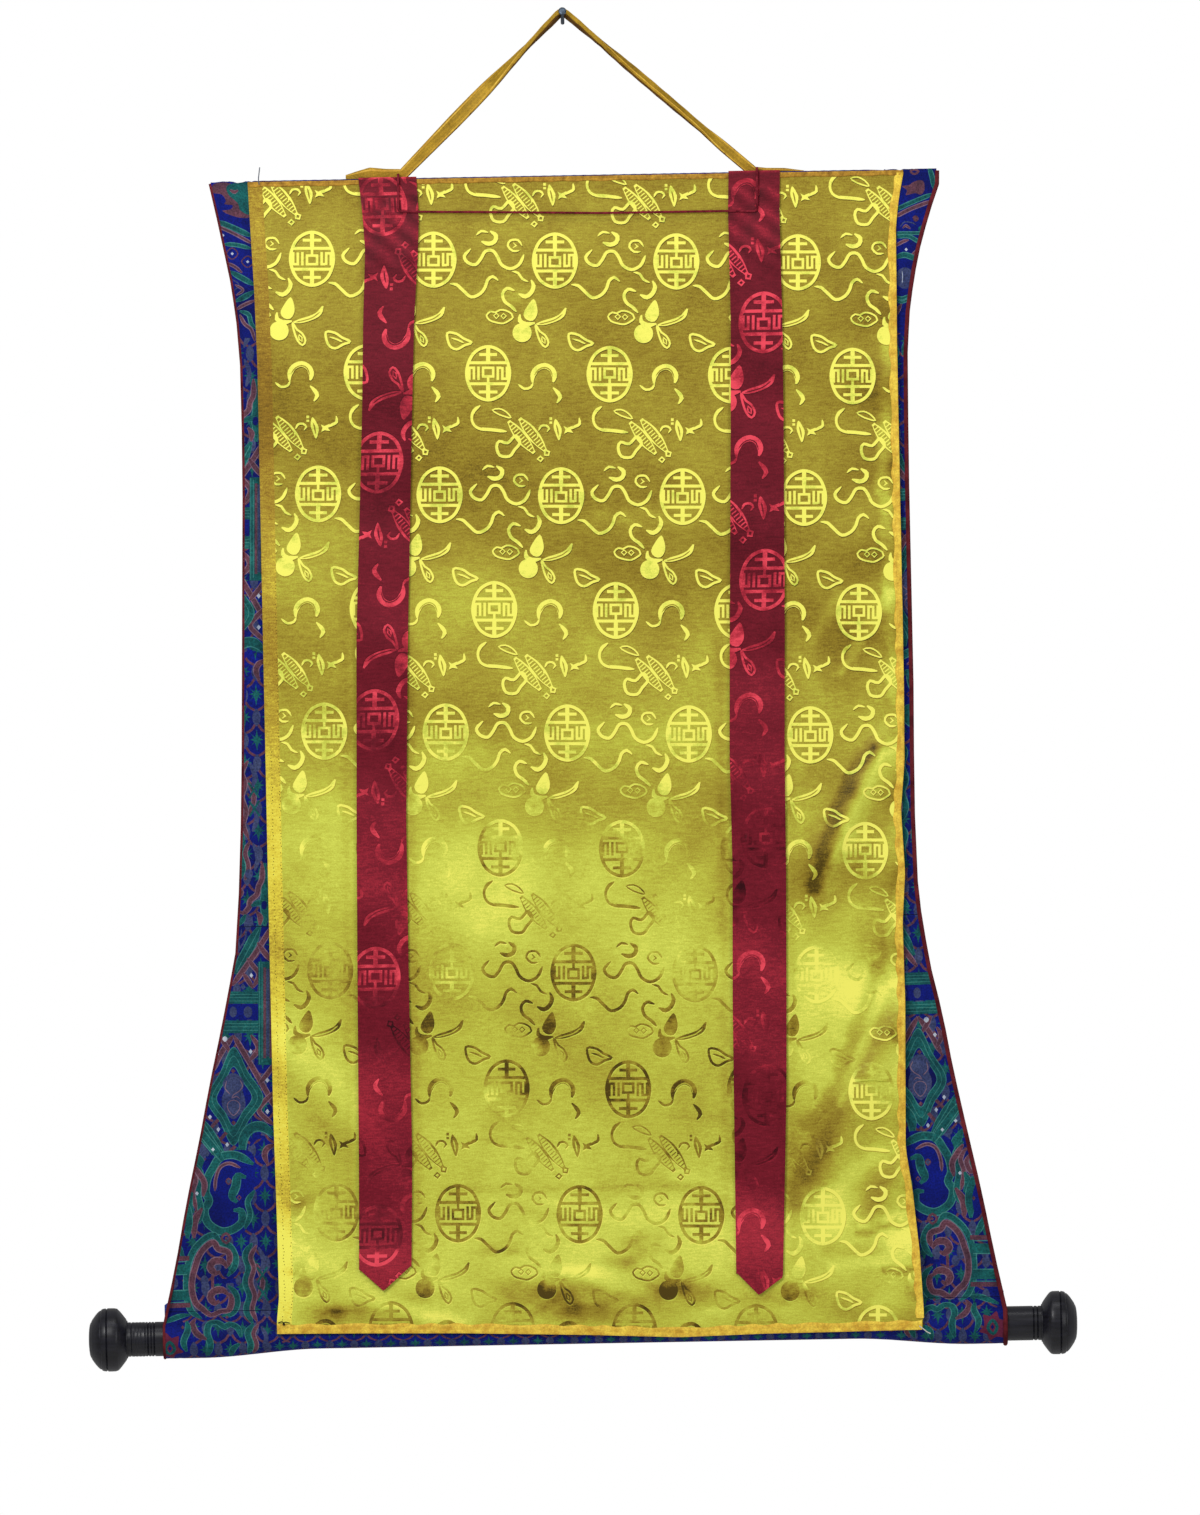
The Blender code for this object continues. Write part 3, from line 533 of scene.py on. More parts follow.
DAMASK = [
    ("line", 25, [(541, 116), (541, 88), (558, 56), (594, 42), (626, 60), (636, 92), (630, 114)]),
    ("slit", 5, [(548, 84), (566, 60), (594, 49), (618, 62), (628, 90)]),
    ("line", 11, [(478, 123), (505, 143), (533, 136), (543, 116)]),
    ("line", 18, [(630, 138), (651, 160), (661, 181), (646, 205)]),
    ("line", 15, [(313, 216), (286, 238), (277, 270), (288, 302), (316, 318), (362, 322),
        (428, 330)]),
    ("slit", 4, [(286, 250), (283, 275), (294, 300), (322, 314)]),
    ("line", 50, [(436, 284), (466, 322), (500, 366), (548, 424)]),
    ("slit", 33, [(441, 292), (468, 326), (502, 368), (542, 416)]),
    ("ticks", 5, 24, [(446, 298), (538, 410)]),
    ("line", 50, [(484, 272), (520, 316), (560, 366), (598, 416)]),
    ("slit", 33, [(490, 281), (522, 320), (560, 368), (592, 408)]),
    ("ticks", 5, 24, [(494, 287), (588, 402)]),
    ("loop", 9, [(575, 438), (586, 448), (576, 460), (562, 450)]),
    ("loop", 9, [(598, 412), (614, 418), (610, 434), (594, 432)]),
    ("loop", 7, [(366, 236), (396, 230), (428, 246), (446, 270), (412, 262), (388, 252)]),
    ("loop", 13, [(466, 348), (432, 380), (396, 372), (384, 396), (398, 434), (440, 438),
        (462, 410), (486, 378)]),
    ("line", 10, [(567, 326), (578, 306), (600, 304), (613, 318), (603, 332)]),
    ("shape", [(560, 342), (572, 340), (572, 352), (560, 352)]),
    ("shape", [(614, 268), (626, 268), (626, 280), (614, 280)]),
    ("shape", [(614, 286), (626, 286), (626, 296), (614, 296)]),
    ("shape", [(640, 274), (662, 306), (668, 330), (656, 370), (640, 336), (632, 308)]),
    ("slit", 6, [(644, 300), (650, 322), (654, 348)]),
    ("shape", [(676, 306), (692, 314), (716, 304), (708, 322), (718, 336), (694, 332), (678, 340),
        (684, 322)]),
    ("line", 13, [(704, 320), (730, 306), (746, 296), (744, 270)]),
    ("line", 11, [(322, 498), (344, 480), (374, 486)]),
    ("line", 19, [(382, 480), (408, 500), (402, 526), (376, 536), (344, 526)]),
    ("line", 10, [(522, 545), (504, 520), (470, 522), (460, 546), (482, 568), (510, 566)]),
    ("line", 9, [(484, 532), (496, 544), (482, 554)]),
    ("line", 14, [(298, 558), (270, 590), (284, 618), (318, 628), (342, 602), (362, 569),
        (394, 567), (415, 594), (432, 628), (470, 646), (506, 630), (521, 606), (530, 583)]),
    ("line", 14, [(207, 712), (236, 716), (263, 740), (300, 770), (340, 755), (362, 725),
        (371, 696), (394, 680), (418, 698)]),
    ("line", 11, [(478, 657), (505, 665), (522, 690), (549, 703)]),
    ("line", 19, [(561, 695), (572, 722), (560, 752), (536, 768), (506, 756)]),
    ("line", 14, [(489, 742), (456, 732), (437, 756), (446, 790), (475, 812), (498, 836)]),
    ("loop", 8, [(367, 851), (385, 834), (405, 838), (426, 827), (452, 830), (476, 844),
        (482, 860), (466, 873), (440, 886), (408, 882), (380, 872)]),
    ("loop", 6, [(398, 853), (410, 842), (421, 853), (410, 865)]),
    ("loop", 6, [(430, 854), (441, 843), (453, 854), (441, 866)]),
    ("shape", [(572, 779), (588, 818), (587, 850), (570, 874), (544, 872), (528, 850),
        (540, 818)]),
    ("line", 21, [(513, 846), (512, 874), (538, 890), (578, 884)]),
    ("shape", [(522, 885), (552, 897), (564, 927), (552, 957), (522, 969), (492, 957), (480, 927),
        (492, 897)]),
    ("line", 21, [(584, 890), (626, 881), (666, 868), (696, 850), (713, 818)]),
    ("slit", 5, [(596, 889), (628, 882), (667, 869), (698, 846)]),
    ("loop", 9, [(580, 892), (588, 932), (604, 972), (624, 990), (637, 970), (622, 938),
        (600, 922)]),
    ("loop", 6, [(608, 944), (622, 956), (622, 974), (610, 966)]),
    ("loop", 11, [(196, 929), (236, 932), (266, 952), (302, 970), (272, 982), (236, 1000),
        (206, 982)]),
    ("line", 8, [(212, 950), (240, 958), (268, 972)]),
]

# Charted from the left side of the scroll, in units of 0.1721 mm.
# Each mark names its silk: b blue, t teal, c clay, m mauve, k pale teal, n pale
# pink, w white, r maroon, d dark stitches. Teal and clay lines are woven with a
# paler line at each edge.
SILK = {"b": 0, "t": 1, "c": 2, "m": 3, "k": 4, "n": 5, "w": 6, "r": 7, "d": 8}
BROCADE_UPPER = [
    ("t", "line", 40, [(600, -30), (592, 60), (604, 120), (598, 180), (604, 240), (600, 300)]),
    ("c", "line", 22, [(586, -30), (586, 50), (568, 92), (560, 134), (524, 168), (518, 202),
        (488, 232), (462, 222)]),
    ("c", "line", 20, [(462, 92), (478, 124), (464, 160)]),
    ("m", "shape", [(517, 2), (536, 14), (534, 44), (517, 58), (500, 44), (498, 14)]),
    ("t", "line", 30, [(530, 196), (562, 180), (612, 176)]),
    ("t", "line", 26, [(500, 240), (480, 276), (462, 296)]),
    ("b", "shape", [(584, 176), (604, 168), (612, 190), (602, 214), (584, 206)]),
    ("c", "line", 26, [(556, 224), (576, 252), (574, 296)]),
    ("m", "line", 20, [(534, 250), (528, 274), (540, 298)]),
    ("t", "line", 22, [(604, 256), (596, 296)]),
]
OGEE = [(437, 934), (512, 1062), (590, 1196), (514, 1318), (437, 1446), (370, 1328),
        (300, 1206), (368, 1066)]
OGEE_INSIDE = [(437, 1034), (486, 1112), (534, 1196), (486, 1270), (437, 1346),
               (394, 1276), (348, 1202), (392, 1112)]
BROCADE_BANDS = [
    ("m", "line", 9, [(502, 322), (496, 370), (456, 442)]),
    ("m", "line", 7, [(478, 316), (474, 352), (452, 392)]),
    ("t", "line", 48, [(574, 300), (518, 414), (444, 552)]),
    ("k", "line", 4, [(570, 318), (516, 420), (452, 540)]),
    ("c", "line", 22, [(640, 300), (560, 428), (430, 612)]),
    ("c", "line", 22, [(562, 386), (592, 430), (640, 490)]),
    ("c", "line", 20, [(508, 468), (540, 510), (570, 556), (540, 622)]),
    ("c", "line", 20, [(486, 544), (512, 584), (540, 626)]),
    ("w", "shape", diamond(530, 558, 10, 12, 14)),
    ("m", "shape", diamond(486, 620, 12, 20, 14)),
    ("t", "bars", 64, [(330, 674, 560, 674)]),
    ("k", "bars", 3, [(330, 658, 590, 658), (330, 674, 590, 674), (330, 692, 590, 692)]),
    ("b", "bars", 82, [(330, 748, 540, 748)]),
    ("m", "shape", [(434, 720), (452, 734), (452, 764), (434, 778), (418, 764), (418, 734)]),
    ("m", "shape", [(512, 720), (532, 734), (532, 766), (512, 780), (492, 766), (492, 734)]),
    ("t", "bars", 66, [(330, 827, 560, 827)]),
    ("k", "bars", 3, [(330, 810, 590, 810), (330, 827, 590, 827), (330, 845, 590, 845)]),
    ("c", "line", 22, [(436, 872), (520, 1012), (600, 1150), (660, 1260)]),
    ("c", "line", 22, [(436, 872), (372, 966), (318, 1076)]),
    ("c", "line", 20, [(528, 870), (566, 940), (518, 1008)]),
    ("c", "line", 20, [(364, 872), (404, 936), (420, 960)]),
    ("c", "line", 20, [(340, 930), (318, 980), (346, 1040)]),
    ("c", "line", 20, [(660, 1010), (610, 1078), (566, 1130)]),
    ("c", "line", 20, [(660, 1160), (604, 1212), (570, 1262), (610, 1310), (650, 1340)]),
    ("w", "shape", diamond(392, 890, 14, 14, 16)),
    ("w", "shape", diamond(526, 956, 10, 14, 14)),
    ("w", "shape", diamond(350, 970, 10, 12, 14)),
    ("w", "shape", diamond(614, 1106, 11, 14, 14)),
    ("w", "shape", diamond(614, 1270, 11, 14, 14)),
    ("t", "bars", 52, [(592, 512, 592, 1000), (640, 512, 640, 1000)]),
    ("c", "bars", 14, [(600, 524, 600, 984), (632, 524, 632, 984)]),
    ("m", "bars", 14, [(616, 530, 616, 975)]),
    ("k", "bars", 3, [(572, 490, 572, 1020), (586, 500, 586, 1010)]),
    ("t", "shape", OGEE),
    ("k", "loop", 4, OGEE),
    ("k", "loop", 3, [(437, 980), (498, 1088), (562, 1196), (498, 1300), (437, 1400), (382, 1306),
        (324, 1204), (382, 1088)]),
    ("b", "shape", OGEE_INSIDE),
    ("k", "loop", 4, OGEE_INSIDE),
    ("m", "shape", [(434, 1068), (470, 1084), (492, 1120), (484, 1160), (496, 1200), (498, 1246),
        (470, 1286), (437, 1310), (404, 1286), (380, 1246), (376, 1200), (390, 1160), (380, 1124),
        (402, 1084)]),
    ("n", "line", 5, [(470, 1104), (484, 1136), (466, 1164), (440, 1180), (428, 1200),
        (452, 1190), (470, 1204)]),
    ("n", "line", 5, [(400, 1110), (394, 1150), (420, 1180)]),
    ("n", "loop", 4, [(437, 1210), (464, 1222), (470, 1252), (437, 1290), (406, 1252),
        (410, 1222)]),
    ("c", "shape", [(434, 1046), (448, 1058), (434, 1070), (422, 1058)]),
    ("c", "shape", [(437, 1316), (450, 1328), (437, 1342), (426, 1328)]),
    ("c", "bars", 18, [(322, 1352, 352, 1318), (366, 1420, 394, 1386), (410, 1490, 440, 1456)]),
    ("w", "shape", diamond(314, 1298, 10, 12, 14)),
    ("w", "shape", diamond(358, 1362, 10, 12, 14)),
    ("w", "shape", diamond(404, 1442, 10, 12, 14)),
    ("t", "line", 56, [(258, 1300), (306, 1386), (392, 1520)]),
    ("k", "line", 4, [(272, 1310), (320, 1390), (400, 1510)]),
    ("k", "line", 4, [(250, 1330), (298, 1412), (370, 1520)]),
    ("m", "shape", diamond(288, 1476, 12, 18, 20)),
    ("t", "line", 46, [(222, 1470), (262, 1534), (300, 1590)]),
    ("t", "line", 44, [(488, 1500), (490, 1410), (530, 1356), (590, 1350), (650, 1396)]),
    ("k", "line", 4, [(500, 1480), (508, 1420), (542, 1380), (590, 1376), (640, 1410)]),
    ("b", "line", 24, [(524, 1450), (552, 1408), (600, 1400)]),
    ("c", "line", 24, [(660, 1440), (614, 1462), (600, 1500), (618, 1550)]),
]

# The clouds below, charted from the right side, in units of 0.2066 mm.
BROCADE_CLOUDS = [
    ("c", "line", 20, [(1146, -20), (1120, 20), (1098, 62), (1106, 120)]),
    ("c", "line", 18, [(1180, 20), (1160, 56), (1180, 100), (1200, 96)]),
    ("w", "shape", diamond(1132, 105, 8, 9, 10)),
    ("t", "line", 26, [(1152, 100), (1168, 146), (1150, 190)]),
    ("c", "line", 26, [(1112, 170), (1146, 226), (1152, 300)]),
    ("t", "line", 36, [(1190, 120), (1176, 200), (1180, 300)]),
    ("b", "shape", [(1204, 150), (1226, 210), (1222, 270), (1196, 276), (1186, 210)]),
    ("c", "shape", diamond(1192, 215, 8, 11, 11)),
    ("t", "line", 22, [(1200, 380), (1220, 340), (1240, 290)]),
    ("t", "line", 22, [(1012, 470), (982, 432), (974, 388), (998, 340), (1044, 318), (1062, 290),
        (1100, 300), (1150, 346), (1180, 410), (1192, 486), (1190, 566), (1172, 622),
        (1132, 668)]),
    ("t", "line", 22, [(1012, 512), (982, 542), (974, 592), (1000, 640), (1044, 652)]),
    ("c", "line", 22, [(1020, 436), (1001, 402), (1006, 366), (1048, 350), (1066, 322),
        (1096, 334), (1130, 372), (1150, 422), (1166, 476), (1168, 534), (1154, 582), (1124, 612),
        (1090, 646), (1050, 626), (1014, 620), (999, 586), (1002, 556), (1022, 544)]),
    ("c", "line", 27, [(1012, 432), (1034, 404), (1070, 404), (1086, 430), (1062, 456),
        (1044, 446)]),
    ("c", "line", 27, [(1012, 552), (1036, 530), (1074, 534), (1090, 560), (1070, 586),
        (1052, 574)]),
    ("c", "bars", 13, [(1077, 470, 1079, 512)]),
    ("b", "bars", 20, [(940, 490, 1060, 491)]),
    ("m", "shape", [(1112, 462), (1128, 476), (1128, 498), (1112, 512), (1097, 498),
        (1097, 476)]),
    ("m", "shape", [(964, 466), (976, 480), (976, 502), (964, 516), (953, 502), (953, 480)]),
    ("c", "loop", 12, [(1012, 284), (1032, 304), (1012, 326), (994, 304)]),
    ("c", "shape", diamond(1012, 305, 6, 7, 7)),
    ("c", "bars", 20, [(1186, 386, 1340, 386), (1188, 590, 1340, 590)]),
    ("t", "bars", 44, [(1212, 434, 1320, 434), (1212, 546, 1320, 546)]),
    ("k", "bars", 4, [(1190, 400, 1340, 400), (1190, 456, 1340, 456), (1190, 524, 1340, 524),
        (1190, 576, 1340, 576)]),
    ("m", "shape", [(1246, 464), (1262, 478), (1262, 504), (1246, 518), (1230, 504),
        (1230, 478)]),
    ("c", "shape", diamond(1020, 660, 8, 10, 10)),
    ("t", "line", 24, [(962, 762), (976, 716), (1010, 700), (1032, 716), (1062, 692), (1096, 700),
        (1108, 744), (1096, 790), (1108, 850)]),
    ("t", "line", 24, [(968, 790), (1000, 820), (1010, 870)]),
    ("c", "line", 22, [(1158, 664), (1172, 700), (1154, 744), (1112, 770)]),
    ("t", "line", 22, [(1196, 680), (1192, 730), (1212, 776), (1200, 820)]),
    ("t", "line", 26, [(1180, 640), (1230, 650), (1300, 690)]),
    ("c", "shape", diamond(1214, 716, 8, 10, 10)),
    ("r", "shape", [(1232, 752), (1262, 760), (1290, 736), (1302, 770), (1330, 780), (1318, 812),
        (1330, 850), (1290, 846), (1262, 866), (1248, 834), (1214, 822), (1236, 796)]),
    ("t", "loop", 14, [(1272, 776), (1292, 802), (1276, 832), (1252, 806)]),
    ("b", "shape", diamond(1272, 803, 8, 11, 11)),
    ("t", "line", 24, [(900, 330), (930, 380), (918, 440), (934, 500), (918, 560), (934, 620),
        (910, 690)]),
    ("c", "line", 16, [(880, 340), (908, 390), (896, 440), (912, 500), (896, 560), (910, 620),
        (890, 680)]),
    ("c", "line", 16, [(884, 420), (860, 500), (884, 580)]),
    ("m", "line", 22, [(872, 350), (852, 410), (868, 460)]),
    ("m", "line", 22, [(868, 530), (850, 590), (872, 650)]),
    ("t", "bars", 9, [(840, 440, 880, 500), (880, 440, 840, 500), (840, 520, 880, 580),
        (880, 520, 840, 580)]),
    ("c", "line", 16, [(884, 690), (908, 740), (896, 800), (912, 860)]),
    ("t", "line", 22, [(906, 690), (932, 740), (920, 800), (934, 860)]),
    ("m", "line", 20, [(872, 700), (852, 760), (868, 820)]),
]

# The cloud above those, charted from the right side, in units of 0.2 mm.
BROCADE_CLOUD_TOP = [
    ("b", "shape", [(640, 800), (760, 780), (860, 820), (880, 960), (880, 1100), (800, 1160),
        (690, 1140), (650, 1000)]),
    ("t", "line", 30, [(640, 842), (700, 806), (742, 796), (790, 806), (822, 850), (850, 900),
        (860, 960), (846, 1000), (868, 1040), (858, 1092), (826, 1124), (784, 1140), (736, 1128),
        (700, 1096), (704, 1050), (738, 1046)]),
    ("t", "line", 34, [(676, 900), (712, 892), (724, 940), (742, 984), (720, 1010)]),
    ("t", "line", 20, [(640, 960), (672, 1010), (664, 1070), (690, 1130)]),
    ("c", "line", 9, [(700, 856), (748, 834), (790, 850), (812, 900), (818, 956)]),
    ("c", "shape", diamond(755, 914, 15, 16, 18)),
    ("m", "shape", diamond(755, 914, 10, 10, 12)),
    ("c", "loop", 6, diamond(710, 990, 8, 10, 10)),
    ("t", "line", 34, [(912, 640), (838, 740), (776, 822)]),
    ("k", "line", 4, [(906, 664), (844, 750), (790, 822)]),
    ("t", "line", 24, [(912, 822), (880, 880), (896, 960), (884, 1050), (912, 1110)]),
    ("c", "line", 16, [(926, 850), (902, 900), (918, 960), (904, 1040)]),
    ("m", "shape", diamond(846, 784, 10, 14, 16)),
    ("w", "shape", diamond(880, 729, 8, 9, 9)),
    ("w", "shape", diamond(820, 769, 8, 9, 9)),
]

# The two top corners, in units of 0.1215 mm. They are drawn apart, because the
# cloth was cut and turned there.
CORNER_LEFT = [
    ("b", "shape", [(90, 190), (520, 190), (540, 700), (540, 1330), (300, 1330), (200, 900)]),
    ("c", "shape", [(165, 262), (230, 240), (300, 252), (330, 300), (420, 306), (450, 480),
        (380, 505), (262, 470), (222, 424), (262, 384), (232, 332), (165, 318)]),
    ("t", "shape", [(270, 270), (345, 246), (450, 262), (450, 470), (372, 452), (350, 396),
        (282, 332)]),
    ("c", "line", 26, [(292, 298), (330, 314), (352, 298)]),
    ("b", "shape", [(204, 372), (240, 362), (252, 402), (312, 412), (300, 440), (232, 450),
        (202, 438)]),
    ("t", "line", 30, [(196, 528), (320, 580), (460, 644)]),
    ("c", "line", 14, [(200, 566), (320, 620), (460, 696)]),
    ("w", "shape", diamond(240, 635, 12, 13, 13)),
    ("t", "line", 20, [(246, 700), (340, 706), (450, 732)]),
    ("c", "loop", 9, diamond(310, 770, 42, 42, 42)),
    ("w", "shape", diamond(310, 770, 12, 12, 12)),
    ("c", "loop", 9, diamond(425, 830, 45, 42, 42)),
    ("w", "shape", diamond(425, 830, 12, 12, 12)),
    ("c", "line", 14, [(268, 838), (330, 868), (384, 912)]),
    ("t", "line", 32, [(290, 900), (380, 950), (480, 1006)]),
    ("m", "line", 9, [(310, 960), (360, 1000), (318, 1052)]),
    ("c", "line", 9, [(330, 1000), (390, 1040), (340, 1080)]),
    ("t", "line", 32, [(330, 1126), (400, 1092), (480, 1046)]),
    ("c", "line", 16, [(340, 1186), (400, 1150), (480, 1116)]),
    ("t", "line", 22, [(366, 1196), (430, 1222), (452, 1290), (490, 1330)]),
    ("c", "line", 16, [(366, 1222), (402, 1290), (452, 1334), (480, 1420)]),
]
CORNER_RIGHT = [
    ("b", "shape", [(160, 110), (540, 110), (530, 300), (460, 560), (400, 900), (340, 1260),
        (160, 1260)]),
    ("c", "loop", 16, [(302, 160), (330, 146), (362, 160), (332, 180)]),
    ("c", "shape", [(240, 270), (290, 262), (320, 240), (370, 225), (402, 240), (405, 300),
        (380, 332), (340, 322), (300, 330), (266, 336), (276, 300)]),
    ("t", "line", 26, [(436, 120), (462, 200), (478, 300)]),
    ("t", "line", 22, [(180, 452), (300, 395), (470, 325)]),
    ("c", "line", 20, [(180, 502), (300, 440), (460, 378)]),
    ("m", "line", 9, [(224, 572), (258, 536), (310, 540), (342, 556)]),
    ("c", "line", 12, [(244, 582), (266, 562), (302, 586)]),
    ("c", "shape", [(318, 500), (340, 486), (364, 506), (352, 530), (330, 530)]),
    ("t", "shape", [(358, 582), (400, 554), (410, 600), (376, 608)]),
    ("t", "line", 14, [(180, 618), (420, 618)]),
    ("t", "line", 20, [(180, 648), (280, 640), (340, 668), (396, 706)]),
    ("c", "line", 15, [(184, 716), (244, 682), (290, 668)]),
    ("c", "line", 13, [(306, 782), (346, 752), (372, 726)]),
    ("w", "shape", diamond(270, 740, 12, 14, 12)),
    ("t", "line", 32, [(180, 806), (262, 780), (370, 824)]),
    ("m", "shape", [(260, 872), (322, 910), (322, 990), (260, 1032), (200, 990), (200, 910)]),
    ("w", "line", 5, [(240, 900), (243, 940), (240, 990)]),
    ("t", "line", 16, [(184, 1086), (240, 1102), (300, 1074)]),
    ("t", "line", 10, [(190, 1118), (240, 1130), (296, 1106)]),
    ("c", "line", 20, [(200, 1226), (214, 1184), (236, 1142)]),
]


def lattice_marks():
    """The small ogee lattice woven beside the clouds: mauve ovals, wavy links and a
    four-petalled teal flower in every cell, on both margins and round the rod."""
    half_w, half_h = 11.0, 20.5
    flower = smooth([(0, -8), (1.4, -1.6), (5.4, -5.4), (1.9, -0.6), (5.0, 0.4), (1.9, 1.4),
                     (5.4, 6), (1.2, 2.2), (0, 8), (-1.2, 2.2), (-5.4, 6), (-1.9, 1.4),
                     (-5.0, 0.4), (-1.9, -0.6), (-5.4, -5.4), (-1.4, -1.6)], True, 3.0)
    oval = smooth([(0, -8), (3.4, -3), (3.4, 3), (0, 8), (-3.4, 3), (-3.4, -3)], True, 3.0)
    out = []
    for j in range(54):
        v = -150.0 - j * half_h
        places = [axis + i * half_w for axis in (-320.0, 327.0)
                  for i in range(-4, 5) if (i + j) % 2 == 0 and abs(axis + i * half_w) > 268.0]
        if v < -1150.0:
            places += [i * half_w for i in range(-24, 25) if (i + j) % 2 == 0]
        for x in places:
            if abs(x) < 362.0:
                for way in (-1, 1):
                    link = smooth([(x + way * 1.5, v - 6.5), (x + way * 4.5, v - 11.0),
                                   (x + way * (half_w - 1.5), v - half_h + 6.5)], False, 3.0)
                    left, right = sides(link, 1.1)
                    out.append((np.vstack([left, right[::-1]]), SILK["c"]))
                out.append((oval + (x, v), SILK["m"]))
                out.append((flower * 1.25 + (x, v - half_h), SILK["t"]))
    return out


def smooth(points, closed=False, step=12.5):
    """Points about a step apart on a smooth curve through a chart's points."""
    p = np.array(points, float)
    if closed:
        ring = np.vstack([p[-1:], p, p[:2]])
    else:
        ring = np.vstack([2 * p[:1] - p[1:2], p, 2 * p[-1:] - p[-2:-1]])
    out = []
    for a, b, c, d in zip(ring, ring[1:], ring[2:], ring[3:]):
        count = max(1, int(round(np.linalg.norm(c - b) / step)))
        t = (np.arange(count) / count)[:, None]
        out.append(0.5 * (2 * b + (c - a) * t + (2 * a - 5 * b + 4 * c - d) * t * t
                          + (3 * b - a - 3 * c + d) * t ** 3))
    out = np.vstack(out)
    return out if closed else np.vstack([out, p[-1:]])


def sides(line, half, closed=False):
    """The two sides of a line of a given half width."""
    if closed:
        along = np.roll(line, -1, axis=0) - np.roll(line, 1, axis=0)
    else:
        along = np.gradient(line, axis=0)
    across = np.stack([-along[:, 1], along[:, 0]], axis=1)
    across /= np.maximum(np.linalg.norm(across, axis=1), 1e-9)[:, None]
    return line + across * half, line - across * half


def outlines(chart):
    """A chart's marks as (outline, 1 for figure or 0 for ground), in painting order."""
    out = []
    for mark in chart:
        kind, points = mark[0], mark[-1]
        if kind in ("line", "slit"):
            line = smooth(points)
            t = np.linspace(0.0, 1.0, len(line))
            ends = np.clip(np.minimum(t, 1.0 - t) * len(line) * 8.0 / mark[1], 0.1, 1.0)
            left, right = sides(line, (mark[1] / 2 * np.sqrt(ends))[:, None])
            out.append((np.vstack([left, right[::-1]]), 1 if kind == "line" else 0))
        elif kind == "loop":
            left, right = sides(smooth(points, True), mark[1] / 2, True)
            ring = np.vstack([left, left[:1], right[:1], right[::-1]])
            out.append((ring, 1))
        elif kind == "shape":
            out.append((smooth(points, True), 1))
        elif kind == "bars":
            for x1, y1, x2, y2 in points:
                a, b = np.array((x1, y1), float), np.array((x2, y2), float)
                way = (b - a) / np.linalg.norm(b - a) * mark[1] / 2
                line = np.array([a - way, b + way])
                left, right = sides(line, mark[1] / 2)
                out.append((np.vstack([left, right[::-1]]), 1))
        elif kind == "ticks":
            a, b = np.array(points[0], float), np.array(points[1], float)
            way = (b - a) / np.linalg.norm(b - a)
            across = np.array((-way[1], way[0])) * mark[2] / 2
            for k in range(10):
                at = a + (b - a) * (k + 0.5) / 10
                left, right = sides(np.array([at - across, at + across]), mark[1] / 2)
                out.append((np.vstack([left, right[::-1]]), 1))
    return out


def damask(rows, columns):
    """The damask's marks over several repeats, in chart units."""
    upright = outlines(ROUNDEL)
    turned = [(p * (1, -1), ink) for p, ink in upright]
    tile = [(p + UPRIGHT, ink) for p, ink in upright]
    tile += [(p + TURNED_OVER, ink) for p, ink in turned]
    tile += outlines(DAMASK)
    # Painted shade: a copy of each figure, shifted and laid under it, shows as a darker low edge
    edge_shades = [(p + EDGE_SHADE_SHIFT, 2) for p, ink in tile if ink and len(p) > 8]
    out = []
    for j in rows:
        for i in columns:
            shift = np.array(REPEAT_ACROSS) * i + np.array(REPEAT_DOWN) * j
            out += [(p + shift, ink) for p, ink in edge_shades + tile]
    return out


def placed_marks(chart, unit, start, mirrored=False, lift=0.0):
    """Brocade marks laid on the mount. start is the chart's corner in units of
    0.9 mm from the nail, as the cloth hangs, a little off level."""
    edges, pale_width = {"t": "k", "c": "n"}, 1.6
    c, s = math.cos(HANGING_TILT), math.sin(HANGING_TILT)
    out = []
    for silk, kind, *rest in chart:
        found = []
        if silk in edges and kind == "line":
            found += [(p, SILK[edges[silk]]) for p, _ in
                      outlines([("line", rest[0] + pale_width / unit, rest[1])])]
        found += [(p, SILK[silk]) for p, _ in outlines([(kind, *rest)])]
        for p, number in found:
            px = start[0] * PHOTO_MM + p[:, 0] * unit
            py = start[1] * PHOTO_MM + p[:, 1] * unit
            x, z = px * c - py * s, -(px * s + py * c) + lift
            x = 2 * MOUNT_MIDDLE - x if mirrored else x
            out.append((np.stack([x, z], axis=1), number))
    return out


def brocade_marks():
    """Both sides of the mount, and the same weave again higher up."""
    left_upper = (BROCADE_UPPER, 0.1721, (-412.5, 847.5))
    left_bands = (BROCADE_BANDS, 0.1721, (-412.5, 847.5))
    right_clouds = (BROCADE_CLOUDS, 0.2066, (137.5, 1127.5))
    cloud_top = (BROCADE_CLOUD_TOP, 0.2, (197.5, 937.5))
    out = lattice_marks()
    for lift in (2 * BROCADE_REPEAT, BROCADE_REPEAT, 0.0):
        for chart, unit, start in (left_upper, left_bands):
            out += placed_marks(chart, unit, start, False, lift)
            out += placed_marks(chart, unit, start, True, lift + OFF_LEVEL)
        for chart, unit, start in (cloud_top, right_clouds):
            out += placed_marks(chart, unit, start, False, lift)
            out += placed_marks(chart, unit, start, True, lift - OFF_LEVEL)
    out += placed_marks(CORNER_LEFT, 0.1215, (-372.5, 128.0))
    out += placed_marks(CORNER_RIGHT, 0.1215, (307.5, 128.0))
    reach = 390.0
    for z in (Z_SEAM - 1.0, -809.7):
        out.append((np.array([(-reach, z - 0.35), (reach, z - 0.35), (reach, z + 0.35),
                              (-reach, z + 0.35)]), SILK["d"]))
    return out


# Cloth meshes

